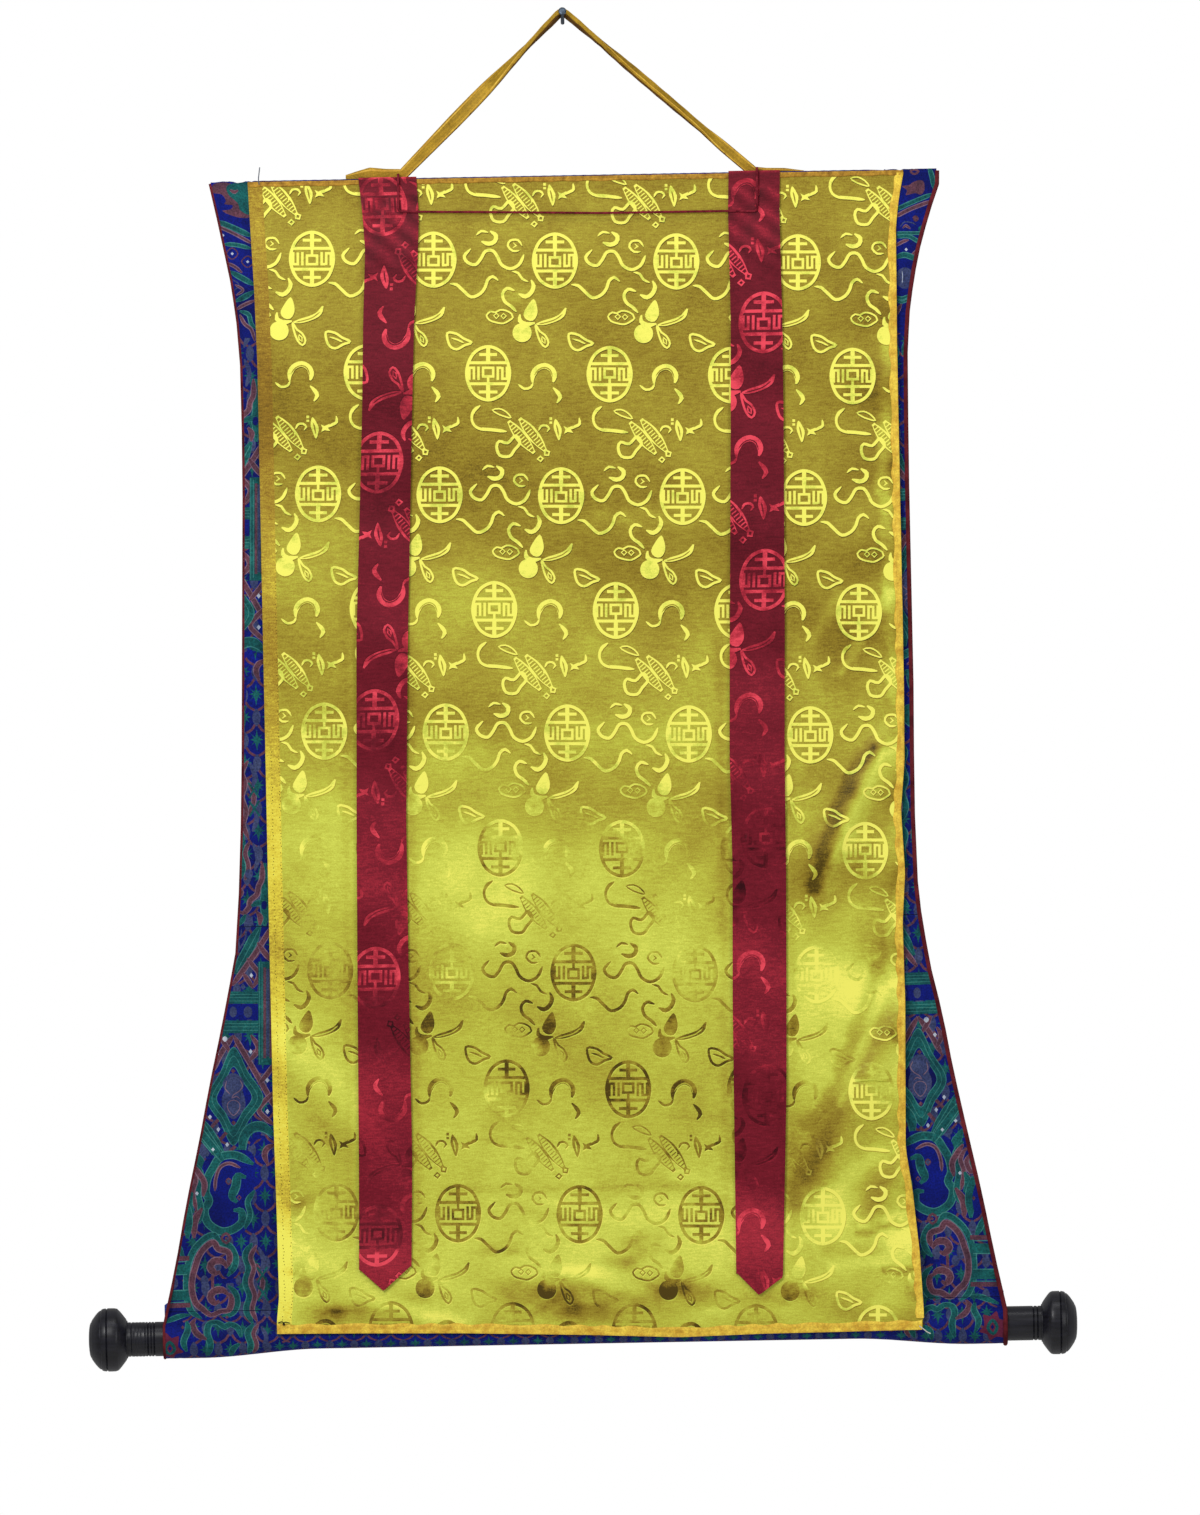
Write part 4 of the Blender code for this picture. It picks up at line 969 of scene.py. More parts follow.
def inside(outline, points):
    """Which points lie in an outline, also one that crosses itself."""
    a, b = outline, np.roll(outline, -1, axis=0)
    turns = np.zeros(len(points), int)
    size = max(1, 3_000_000 // len(a))
    for start in range(0, len(points), size):
        p = points[start:start + size]
        below_a = a[None, :, 1] <= p[:, 1, None]
        below_b = b[None, :, 1] <= p[:, 1, None]
        side = ((b[:, 0] - a[:, 0])[None] * (p[:, 1, None] - a[None, :, 1])
                - (p[:, 0, None] - a[None, :, 0]) * (b[:, 1] - a[:, 1])[None])
        turns[start:start + size] = ((below_a & ~below_b & (side > 0)).sum(1)
                                     - (~below_a & below_b & (side < 0)).sum(1))
    return turns != 0


def triangles(loops, outline, spacing, rows=()):
    """Triangles inside an outline that follow every loop's edge. rows are heights
    of further lines of free points, where the cloth turns tightly."""
    points, edges = [], []
    for loop in loops:
        first, count = len(points), len(loop)
        points.extend(loop.tolist())
        edges.extend((first + k, first + (k + 1) % count) for k in range(count))
    taken = set(map(tuple, np.floor(np.array(points) / (0.5 * spacing)).astype(int)))
    low, high = outline.min(axis=0), outline.max(axis=0)
    nx, ny = np.ceil((high - low) / spacing).astype(int)
    grid = []
    for j in range(ny + 1):
        for i in range(nx + 1):
            grid.append((low[0] + (i + 0.5 * (j % 2)) * spacing, low[1] + j * spacing))
    grid = [p for p in grid if not any(abs(p[1] - r) < 0.7 * spacing for r in rows)]
    grid += [(low[0] + (i + 0.5 * (k % 2)) * spacing, r)
             for k, r in enumerate(rows) for i in range(nx + 1)]
    grid = np.array(grid)
    grid = grid[inside(outline, grid)]
    cells = np.floor(grid / (0.5 * spacing)).astype(int)
    grid = grid[[tuple(c) not in taken for c in cells]]
    verts, _, faces, origin, _, _ = delaunay_2d_cdt(
        [Vector(p) for p in points] + [Vector(p) for p in grid.tolist()],
        edges, [], 0, 1e-4, True)
    verts = np.array([tuple(v) for v in verts])
    faces = np.array(faces)
    middle = verts[faces].mean(axis=1)
    return verts, faces[inside(outline, middle)], origin


def rim(faces):
    """The outer edge of a patch of triangles, as one loop of vertices."""
    edges = np.vstack([faces[:, [0, 1]], faces[:, [1, 2]], faces[:, [2, 0]]])
    known = set(map(tuple, edges.tolist()))
    follow = {a: b for a, b in known if (b, a) not in known}
    start = next(iter(follow))
    loop = [start]
    while follow[loop[-1]] != start:
        loop.append(follow[loop[-1]])
        if len(loop) > len(follow):
            raise RuntimeError("a cloth's edge is not one loop")
    return loop


def woven(name, outline, painted, place, thick, spacing, finishes, back_finish,
          back_spacing=15.0, rows=(), tones=None):
    """A cloth with its woven figures meshed in. painted holds (outline, finish
    number) in painting order, place turns flat points (u, v) into space, and
    tones gives the painted light on it: how light its painted sheen and shade lie
    and how far its figure's painted gleam stands out there."""
    low, high = outline.min(axis=0), outline.max(axis=0)
    painted = [(p, k) for p, k in painted
               if (p.max(axis=0) > low).all() and (p.min(axis=0) < high).all()]
    flat, faces, _ = triangles([outline] + [p for p, _ in painted], outline, spacing,
                               rows)
    middle = flat[faces].mean(axis=1)
    finish = np.zeros(len(faces), int)
    for loop, number in painted:
        near = np.where(((middle >= loop.min(axis=0)) & (middle <= loop.max(axis=0)))
                        .all(axis=1))[0]
        finish[near[inside(loop, middle[near])]] = number
    edge = rim(faces)
    coarse, back, origin = triangles([flat[edge]], flat[edge], back_spacing, rows)
    match = {}
    for new, olds in enumerate(origin):
        for old in olds:
            if old < len(edge):
                match[old] = new
    used = np.unique(faces)
    renumber = np.full(len(flat), -1)
    renumber[used] = np.arange(len(used))
    flat_front = flat[used]
    faces = renumber[faces]
    edge = renumber[edge]
    count = len(flat_front)
    front = place(flat_front)
    ahead = facing(place, coarse)
    behind = place(coarse) - ahead * thick
    walls = []
    n = len(edge)
    for k in range(n):
        a, b = edge[k], edge[(k + 1) % n]
        walls.append((b, a, count + match[k], count + match[(k + 1) % n]))
    mesh = bpy.data.meshes.new(name)
    mesh.from_pydata((np.vstack([front, behind]) * MM).tolist(), [],
                     faces.tolist() + (back[:, ::-1] + count).tolist() + walls)
    numbers = np.concatenate([finish, np.full(len(back) + len(walls), len(finishes))])
    mesh.polygons.foreach_set("material_index", numbers.astype(np.int32))
    both = np.vstack([flat_front, coarse])
    if tones:
        for key, values in tones(both).items():
            layer = mesh.attributes.new(key, "FLOAT", "POINT")
            layer.data.foreach_set("value", values.astype(np.float32))
    return dressed(name, mesh, both, list(finishes) + [back_finish])


def facing(place, flat):
    """Unit normals of a placed cloth on its face side."""
    e = 0.4
    du = place(flat + (e, 0.0)) - place(flat - (e, 0.0))
    dv = place(flat + (0.0, e)) - place(flat - (0.0, e))
    normal = np.cross(du, dv)
    return normal / np.linalg.norm(normal, axis=1)[:, None]


def dressed(name, mesh, flat, finishes, sharp=50.0):
    """An object for a cloth mesh, with its flat points as a UV map in metres."""
    uv = mesh.uv_layers.new(name="cloth")
    corner = np.zeros(len(mesh.loops), np.int32)
    mesh.loops.foreach_get("vertex_index", corner)
    uv.uv.foreach_set("vector", (flat[corner] * MM).astype(np.float32).ravel())
    for finish in finishes:
        mesh.materials.append(finish)
    mesh.shade_smooth()
    mesh.set_sharp_from_angle(angle=math.radians(sharp))
    piece = bpy.data.objects.new(name, mesh)
    bpy.context.scene.collection.objects.link(piece)
    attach(piece, "root")
    return piece


def closed_mesh(name, points, faces):
    """A closed mesh from points in millimetres, with its faces turned outward."""
    mesh = bpy.data.meshes.new(name)
    mesh.from_pydata((np.array(points) * MM).tolist(), [], faces)
    bm = bmesh.new()
    bm.from_mesh(mesh)
    bmesh.ops.recalc_face_normals(bm, faces=bm.faces)
    bm.to_mesh(mesh)
    bm.free()
    return mesh


def gridded(name, front, back, flat, finish):
    """A closed cloth from two grids of points, its face and its back."""
    rows, across, _ = front.shape
    verts = np.vstack([front.reshape(-1, 3), back.reshape(-1, 3)])
    ids = np.arange(rows * across).reshape(rows, across)
    quads = np.stack([ids[:-1, :-1], ids[:-1, 1:], ids[1:, 1:], ids[1:, :-1]],
                     axis=-1).reshape(-1, 4)
    shift = rows * across
    edge = np.concatenate([ids[0, :], ids[1:, -1], ids[-1, -2::-1], ids[-2:0:-1, 0]])
    walls = np.stack([np.roll(edge, -1), edge, edge + shift, np.roll(edge, -1) + shift],
                     axis=-1)
    faces = quads.tolist() + (quads[:, ::-1] + shift).tolist() + walls.tolist()
    flat = flat.reshape(-1, 2)
    return dressed(name, closed_mesh(name, verts, faces), np.vstack([flat, flat]), [finish])


def tube(name, points, flat, around, finishes, sharp=80.0):
    """A closed round piece from rings of points, around of them in each ring."""
    count = len(points) // around
    faces = [(i * around + k, i * around + (k + 1) % around,
              (i + 1) * around + (k + 1) % around, (i + 1) * around + k)
             for i in range(count - 1) for k in range(around)]
    faces.append(tuple(range(around))[::-1])
    faces.append(tuple(range((count - 1) * around, count * around)))
    return dressed(name, closed_mesh(name, points, faces), np.array(flat), finishes, sharp)


# Veil

# How far the veil's top edge lies above the line where the mount's hem turns back
VEIL_OVER_TOP = 0.75


def veil_outline():
    """The veil's flat outline, a closed loop of points 3 mm apart."""
    top = Z_TOP + VEIL_OVER_TOP
    left = np.array([(x, z) for z, x in VEIL_LEFT if z > -1172], float)
    left[0] = (float(table(VEIL_LEFT, top)), top)
    right = np.array([(x, z) for z, x in VEIL_RIGHT if z > -1172], float)
    right[0] = (float(table(VEIL_RIGHT, top)), top)
    low_left = (-278.0, float(table(VEIL_BOTTOM, -278.0)))
    low_right = (302.0, float(table(VEIL_BOTTOM, 302.0)))
    bottom = [(x, float(table(VEIL_BOTTOM, x))) for x in range(-270, 300, 10)]
    loop = [tuple(p) for p in left] + [low_left] + bottom + [low_right]
    loop += [tuple(p) for p in right[::-1]] + [tuple(left[0])]
    return even_steps(loop, 3.0)[:-1]


def chart_to_veil(points):
    """From chart units to the veil, whose weft hangs a little off level."""
    x, y = points[:, 0], points[:, 1]
    y = y + 4.1e-6 * (y - 610.0) ** 2
    c, s = math.cos(HANGING_TILT), math.sin(HANGING_TILT)
    return np.stack([-34.8 + UNIT * (x * c - y * s),
                     -301.2 - UNIT * (x * s + y * c)], axis=1)


# Further creases of the hanging silk: start, end, width, height, in millimetres
CREASES = [
    ((297, -634), (268, -658), 7.0, 2.6), ((276, -648), (254, -700), 7.0, 2.8),
    ((258, -690), (236, -740), 8.0, 2.4), ((240, -735), (212, -800), 9.0, 2.0),
    ((296, -560), (230, -600), 14.0, 1.6), ((300, -880), (252, -960), 10.0, 2.4),
    ((262, -940), (214, -1040), 11.0, 2.4), ((306, -1010), (262, -1075), 8.0, 2.2),
    ((300, -1060), (180, -1120), 13.0, 2.2), ((190, -1096), (90, -1150), 12.0, 2.0),
    ((-40, -1120), (90, -1160), 9.0, 1.6), ((-200, -1150), (-120, -1172), 8.0, 1.6),
    ((-270, -1100), (-180, -1160), 14.0, 1.4), ((60, -1040), (150, -1064), 10.0, 1.2),
    ((-60, -1062), (30, -1080), 8.0, 1.0), ((-274, -820), (-190, -860), 14.0, 1.0),
    ((290, -430), (220, -500), 16.0, 1.2), ((-120, -700), (20, -720), 20.0, 0.8),
]


def veil_place(flat):
    """Where the veil's flat points hang, with all its folds and creases."""
    x, z = flat[:, 0], flat[:, 1]
    y = veil_y(x, z) + 0.4
    for start, end, width, height in CREASES:
        y = y - crease(x, z, start, end, width, height * 0.5)
    low = smoothstep(-1060.0, -1150.0, z)
    ripple = 0.5 * np.sin(x / 21.0 + 2.0 * np.sin(z / 31.0)) * np.sin(z / 11.0 + x / 160.0)
    y = y - 0.5 * low * (ripple + 0.6)
    near_right = np.exp(-np.clip(table(VEIL_RIGHT, z) - x, 0.0, 400.0) / 40.0)
    pull = 0.6 + np.sin(z / 9.0 + x / 50.0) * 0.5
    y = y - 0.5 * near_right * smoothstep(-300.0, -500.0, z) * pull
    return np.stack([x, y, z], axis=1)


# Soft patches on the hanging silk: x, z, half width, half height,
# how much lighter the ground lies there and how much more the figure stands out.
# Painted sheen: each patch makes the ground's painted light lighter or darker, and changes how far the
# figures' painted gleam stands out
SHEEN_PATCHES = [
    (-50, -245, 26, 9, 0.14, -0.2), (60, -449, 80, 12, 0.16, -0.1),
    (-218, -480, 60, 60, 0.12, -0.4), (-85, -518, 46, 34, 0.18, -0.15),
    (-236, -608, 50, 50, 0.08, -0.3), (58, -648, 60, 20, 0.18, -0.3),
    (-105, -662, 46, 26, 0.2, -0.4), (20, -756, 80, 46, 0.1, -0.4),
    (-88, -772, 46, 54, 0.16, -0.5), (-220, -742, 50, 50, 0.1, -0.45),
    (-10, -868, 50, 44, 0.0, -0.5), (43, -962, 40, 40, 0.0, -0.5),
    (-116, -862, 44, 34, 0.0, 0.45), (-72, -958, 40, 36, 0.0, 0.4),
    (-230, -1066, 44, 44, 0.0, 0.75), (110, -1072, 40, 40, 0.0, -0.25),
    (-112, -1074, 40, 40, 0.0, -0.2), (222, -1072, 50, 56, -0.1, 1.0),
    (-22, -1152, 44, 15, -0.42, 0.1), (78, -1142, 36, 11, -0.4, 0.1),
    (33, -1120, 15, 8, -0.36, 0.0), (12, -1163, 24, 6, -0.2, 0.0),
    (-66, -1138, 13, 8, -0.3, 0.0), (-76, -1104, 22, 4, -0.25, 0.0),
    (50, -1101, 19, 12, -0.3, 0.3), (-221, -1158, 22, 7, -0.5, 0.0),
    (-256, -1060, 12, 7, -0.3, 0.5), (-262, -1120, 12, 5, -0.2, 0.5),
    (176, -1150, 30, 7, -0.3, 0.1), (120, -1164, 26, 4, 0.25, 0.0),
    (-130, -1166, 30, 5, 0.25, 0.0), (-150, -1146, 30, 6, -0.15, 0.0),
    (0, -1125, 50, 4, 0.2, 0.0), (262, -1160, 20, 10, 0.15, 0.2),
    (250, -1004, 30, 60, -0.15, 0.3), (150, -560, 40, 20, 0.14, -0.2),
    (236, -880, 60, 40, 0.2, -0.1), (262, -250, 40, 60, -0.05, 0.2),
]


# Painted shade and highlight along the edges of the folds, where the satin's gloss
# turns: the line of the fold, half width and how much lighter or darker the silk
# lies along it.
FOLD_SHADE_LINES = [
    ([(287, -648), (264, -665), (251, -675), (243, -694), (233, -714), (222, -750),
      (213, -783)], 5.5, -0.32),
    ([(285, -658), (270, -671), (261, -685), (252, -704), (244, -724), (232, -756)],
     4.0, 0.2),
    ([(266, -860), (258, -885), (249, -908), (237, -936), (226, -968), (214, -984),
      (199, -998)], 5.5, -0.28),
    ([(274, -875), (265, -896), (255, -921), (242, -952), (232, -976)], 4.0, 0.2),
    ([(222, -988), (211, -1020), (196, -1044), (186, -1067)], 8.0, -0.22),
    ([(285, -1016), (259, -1029), (239, -1044), (208, -1071)], 6.0, 0.16),
    ([(246, -1096), (270, -1090), (294, -1087)], 3.0, -0.36),
    ([(248, -1089), (270, -1083), (295, -1079)], 3.0, 0.22),
    ([(269, -1129), (283, -1130), (295, -1127)], 3.0, -0.42),
    ([(281, -915), (285, -923)], 3.0, -0.4),
    ([(218, -1108), (238, -1111), (265, -1109)], 6.0, -0.18),
    ([(220, -1125), (247, -1120), (265, -1121)], 5.0, 0.18),
    ([(-149, -560), (-151, -900), (-150, -1116)], 4.5, -0.16),
    ([(-206, -500), (-210, -900), (-211, -1116)], 3.0, -0.1),
    ([(131, -560), (129, -900), (129, -1120)], 3.5, -0.14),
    ([(195, -560), (191, -900), (187, -1120)], 3.0, -0.1),
    ([(284, -520), (262, -556), (240, -590)], 4.0, 0.3), ([(240, -520), (214, -560)], 4.0, 0.2),
    ([(288, -300), (280, -420), (286, -520), (288, -620)], 5.0, 0.3),
    ([(290, -790), (280, -830), (284, -870)], 5.0, 0.26),
    ([(-120, -1049), (20, -1051), (120, -1048)], 2.5, -0.12),
    ([(-120, -1005), (-20, -1008)], 2.0, -0.1), ([(20, -992), (124, -990)], 2.0, -0.1),
]


def line_distance(x, z, line):
    """Distance from each point to the nearest part of a line."""
    best = np.full(len(x), 1e9)
    for (ax, az), (bx, bz) in zip(line, line[1:]):
        dx, dz = bx - ax, bz - az
        t = np.clip(((x - ax) * dx + (z - az) * dz) / (dx * dx + dz * dz), 0.0, 1.0)
        best = np.minimum(best, np.hypot(x - ax - t * dx, z - az - t * dz))
    return best


def veil_painted_light(flat):
    """Painted light on the silk: how light its painted sheen and shade lie and how far
    its figures' painted gleam stands out, by its slope, by height, in soft patches
    and along the edges of folds."""
    x, z = flat[:, 0], flat[:, 1]
    normal = facing(veil_place, flat)
    # Painted shade and sheen by slope: lighter where the silk faces right and up, and lighter lower
    # down
    slope = 0.9 * normal[:, 0] + 0.75 * normal[:, 2]
    down = smoothstep(-420.0, -900.0, z)
    lit = 0.28 + 0.34 * down + 1.7 * np.clip(slope, -0.16, 0.16)
    # Painted sheen: wavering streaks, strongest near the right edge
    by_edge = smoothstep(170.0, 250.0, x) * smoothstep(-420.0, -620.0, z)
    drift = np.sin(x / 23.0 + 1.7 * np.sin(z / 47.0)) * np.sin(z / 31.0 + 1.3 * np.sin(x / 29.0))
    lit = lit + (0.03 + 0.03 * down + 0.12 * by_edge) * drift
    # Painted sheen: the figures gleam over the ground at the top and lie darker than it lower down
    stand = 1.0 - 1.55 * smoothstep(-600.0, -900.0, z)
    stand = stand + 0.8 * smoothstep(150.0, 260.0, x) * down
    stand = stand + 0.4 * down * np.sin(x / 17.0 + z / 23.0 + 2.0 * np.sin(z / 37.0))
    ragged = 1.0 + 0.55 * np.sin(x / 7.0 + 2.0 * np.sin(z / 9.0)) \
        * np.sin(z / 4.6 + 1.5 * np.sin(x / 11.0))
    for px, pz, rx, rz, glow, change in SHEEN_PATCHES:
        share = np.exp(-((x - px) / rx) ** 2 - ((z - pz) / rz) ** 2)
        lit = lit + glow * share * (ragged if rz < 20 else 1.0)
        stand = stand + change * share
    # Painted shade and highlight along the edges of the folds
    for line, half, glow in FOLD_SHADE_LINES:
        wander = line_distance(x, z, line) + 0.3 * half * np.sin(x / 6.0 + z / 7.0)
        lit = lit + 0.7 * glow * (1.0 - smoothstep(0.7 * half, 1.5 * half, wander))
    return {"lit": lit, "contrast": np.clip(stand, -0.62, 1.0)}


def veil_trim_marks():
    """The left selvedge band with its two rows of needle holes."""
    marks = []
    heights = np.arange(-1174.0, -139.0, 12.0)
    inner = [(float(table(VEIL_LEFT, z)) + 13.0, z) for z in heights]
    outer = [(float(table(VEIL_LEFT, z)) - 4.0, z) for z in heights[::-1]]
    marks.append((np.array(inner + outer), 3))
    for column, first in ((5.2, -650.0), (12.2, -500.0)):
        for k, z in enumerate(np.arange(first, -1164.0, -2.9)):
            if (k * 7 + int(column)) % 11 < 9:
                x = float(table(VEIL_LEFT, z)) + column + 0.5 * math.sin(k * 1.7)
                marks.append((np.array([(x - 0.5, z), (x, z - 0.65), (x + 0.5, z),
                                        (x, z + 0.65)]), 4))
    return marks


def make_veil():
    """The veil, its damask meshed in and its left selvedge kept."""
    marks = [(chart_to_veil(p), ink) for p, ink in damask(range(-1, 5), range(-3, 4))]
    return woven("veil_cloth", veil_outline(), marks + veil_trim_marks(), veil_place,
                 thick=0.8, spacing=5.6,
                 finishes=[VEIL_GROUND, VEIL_FIGURE, VEIL_EDGE_SHADE, SELVEDGE, NEEDLE_HOLE],
                 back_finish=VEIL_GROUND, tones=veil_painted_light)


def hem(name, line, inward, width, height, pucker, finish):
    """A turned hem: a folded strip along an edge line, wrapped round the veil's
    edge and puckered by its stitches. inward points from the edge into the cloth."""
    line = even_steps(line, 1.6)
    t = np.arange(len(line)) * 1.6
    profile = [(-0.9, -0.35), (-0.7, 0.35), (0.4, 0.75), (0.2 * width, 0.7),
               (0.36 * width, 0.42), (0.5 * width, 0.62), (0.72 * width, 0.85),
               (0.88 * width, 0.6), (width, 0.1)]
    front, flat = [], []
    for k, (into, rise) in enumerate(profile):
        wob = pucker * np.sin(t / 3.3 + 1.3 * np.sin(t / 11.0) + k * 0.5) * (k / 8.0)
        sway = pucker * 0.9 * np.sin(t / 5.1 + 2.0 * np.sin(t / 23.0)) * (k > 5)
        xz = line + (into + sway)[:, None] * np.array(inward)
        surface_y = veil_place(xz)[:, 1]
        lift = height * rise * (1.0 + 0.35 * wob) + 0.12
        front.append(np.stack([xz[:, 0], surface_y - lift, xz[:, 1]], axis=1))
        flat.append(np.stack([t, np.full_like(t, into)], axis=1))
    front, flat = np.array(front), np.array(flat)
    back = front.copy()
    for k in range(len(profile)):
        back[k, :, 1] = veil_place(front[k][:, [0, 2]])[:, 1] + (0.95 if k < 7 else 0.0)
    back[-1, :, 1] = front[-1, :, 1] + 0.1
    back[-2, :, 1] = np.maximum(back[-2, :, 1], front[-2, :, 1] + 0.15)
    return gridded(name, front, back, flat, finish)


def make_threads():
    """Ends of sewing thread left at the veil's corners."""
    pieces = []
    for name, finish, route in (
            ("thread_end_top_left", GREY_THREAD,
             [(-276, -0.6, -141.5), (-276.6, -0.2, -137), (-276, 0.4, -132), (-275.2, 0.2, -126)]),
            ("thread_knot_bottom_left", BLACK_THREAD,
             [(-277, -1.0, -1166), (-273, -1.8, -1164.6), (-270.5, -1.8, -1167.6),
              (-273, -2.2, -1168), (-271, -2.4, -1165), (-266, -1.2, -1166.4)]),
            ("thread_end_bottom_right", WHITE_THREAD,
             [(299, -1.0, -1179), (303, -1.0, -1182), (306, -0.6, -1184.6), (309, -0.4, -1186)])):
        line = even_steps(rounded(route, 1.5, 4), 0.6)
        line[:, 1] += veil_place(line[:1, [0, 2]])[0, 1]
        around, verts, flat = 7, [], []
        for i, point in enumerate(line):
            ahead = Vector(line[min(i + 1, len(line) - 1)] - line[max(i - 1, 0)]).normalized()
            side = ahead.cross(Vector((0.3, 1.0, 0.2))).normalized()
            up = ahead.cross(side)
            for k in range(around):
                a = math.tau * k / around
                verts.append(tuple(Vector(point) + (side * math.cos(a) + up * math.sin(a)) * 0.5))
                flat.append((k * 0.4, i * 0.7))
        pieces.append(tube(name, verts, flat, around, [finish]))
    return pieces


def make_hems():
    """The veil's three turned hems, and the loose thread at its corners."""
    top = Z_TOP + VEIL_OVER_TOP
    edge_top = [(x, top - 0.7) for x in np.linspace(-286.0, 304.2, 60)]
    edge_right = [(float(table(VEIL_RIGHT, z)), z) for z in np.linspace(top - 2, -1172, 120)]
    edge_low = [(x, float(table(VEIL_BOTTOM, x))) for x in np.linspace(-278.0, 301.5, 80)]
    hems = [hem("veil_hem_top", edge_top, (0.0, -1.0), 3.8, 0.8, 0.4, TURNED_EDGE),
            hem("veil_hem_right", edge_right, (-1.0, 0.0), 6.0, 0.9, 0.9, HEM_SILK),
            hem("veil_hem_bottom", edge_low, (0.0, 1.0), 7.6, 0.9, 0.8, HEM_SILK)]
    for piece in hems + make_threads():
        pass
    return hems


# Ribbons

def ribbon_run():
    """The ribbon's side view from the flap behind the hem, over the top edge and
    down to where it hangs free, as distances and (y, z) points."""
    front = float(ribbon_y(0.0, -138.5))
    back = Y_TOP + 2 * HEM_MID_RADIUS + MOUNT_THICK / 2 + GAP + SILK_THICK / 2
    crown = Z_TOP + HEM_MID_RADIUS + MOUNT_THICK / 2 + GAP + SILK_THICK / 2
    turn = 1.6
    path = [(back, -152.0), (back, crown - turn)]
    path += [(back - turn + turn * math.cos(a), crown - turn + turn * math.sin(a))
             for a in np.radians([22, 45, 68, 90])]
    path += [(front + turn + turn * math.cos(a), crown - turn + turn * math.sin(a))
             for a in np.radians([90, 112, 135, 158, 180])]
    path = np.array(path)
    run = np.concatenate([[0], np.cumsum(np.linalg.norm(np.diff(path, axis=0), axis=1))])
    return run, path


def make_ribbon(name, edges, end, centre, turned, gleam):
    """One ribbon. Its flat points are measured from its middle line, centre is a
    roundel's place on it, turned is -1 where the damask hangs upside down, and
    gleam says how far its figure stands out at each height."""
    run, path = ribbon_run()
    join_z = path[-1, 1]

    def middle(v):
        v = np.minimum(v, -138.0)
        return (table(edges[0], v) + table(edges[1], v)) / 2

    def place(flat):
        v = flat[:, 1]
        x = flat[:, 0] + middle(v)
        z = np.minimum(v, join_z)
        y = ribbon_y(x, z)
        near = smoothstep(-146.0, join_z, z)
        y = y + (path[-1, 0] - y) * near
        y = y - 0.25 * (1 + np.sin(z / 13.0 + x / 30.0)) * smoothstep(-200.0, -400.0, z)
        crumple = smoothstep(-236.0, -200.0, z) * smoothstep(-146.0, -156.0, z)
        y = y - 0.4 * crumple * (1 + np.sin(x / 4.1 + z / 9.0) * np.sin(z / 5.3))
        back = np.clip(run[-1] - (v - join_z), 0.0, run[-1])
        over = v > join_z
        y = np.where(over, np.interp(back, run, path[:, 0]), y)
        z = np.where(over, np.interp(back, run, path[:, 1]), z)
        return np.stack([x, y, z], axis=1)

    top = join_z + run[-1]
    low = max(edges[0][-1][0], edges[1][-1][0])
    loop = []
    for z in [top] + list(np.arange(-140.0, low, -12.0)) + [low]:
        loop.append((float(table(edges[0], min(z, -138.0))), z))
    x0, x1 = float(table(edges[0], low)), float(table(edges[1], low))
    loop += [(x0 + (x1 - x0) * u, z) for u, z in end]
    for z in [low] + list(np.arange(-140.0, low, -12.0)[::-1]) + [top]:
        loop.append((float(table(edges[1], min(z, -138.0))), z))
    loop.append(loop[0])
    outline = even_steps(loop, 3.0)[:-1]
    outline[:, 0] -= middle(outline[:, 1])
    marks = []
    grow = UNIT * 1.089
    for p, ink in damask(range(-5, 6), range(-1, 2)):
        q = (p - UPRIGHT) * turned
        q[:, 0] -= q[:, 1] * REPEAT_DOWN[0] / REPEAT_DOWN[1]
        marks.append((np.stack([centre[0] + grow * q[:, 0], centre[1] - grow * q[:, 1]],
                               axis=1), ink))

    # Painted light on the ribbon: lit is painted sheen and shade, lighter where the silk faces right
    # and up and lower down, and contrast is the figure's painted gleam at each height
    def tones(flat):
        x, z = flat[:, 0], flat[:, 1]
        normal = facing(place, flat)
        slope = 0.9 * normal[:, 0] + 0.75 * normal[:, 2]
        lit = 0.32 + 0.13 * smoothstep(-400.0, -800.0, z) + 1.6 * np.clip(slope, -0.2, 0.2)
        stand = table(gleam, z) + 0.1 * np.sin(z / 19.0 + x / 14.0 + 2.0)
        return {"lit": lit, "contrast": stand}

    return woven(name, outline, marks, place, thick=0.8, spacing=4.0,
                 finishes=[RIBBON_GROUND, RIBBON_FIGURE, RIBBON_EDGE_SHADE],
                 back_finish=RIBBON_GROUND, tones=tones)


# Brocade mount

# How much cloth runs from the seam to the rod, and how much lies round it
SLEEVE_FRONT = 18.6
SLEEVE_ROUND = 76.6


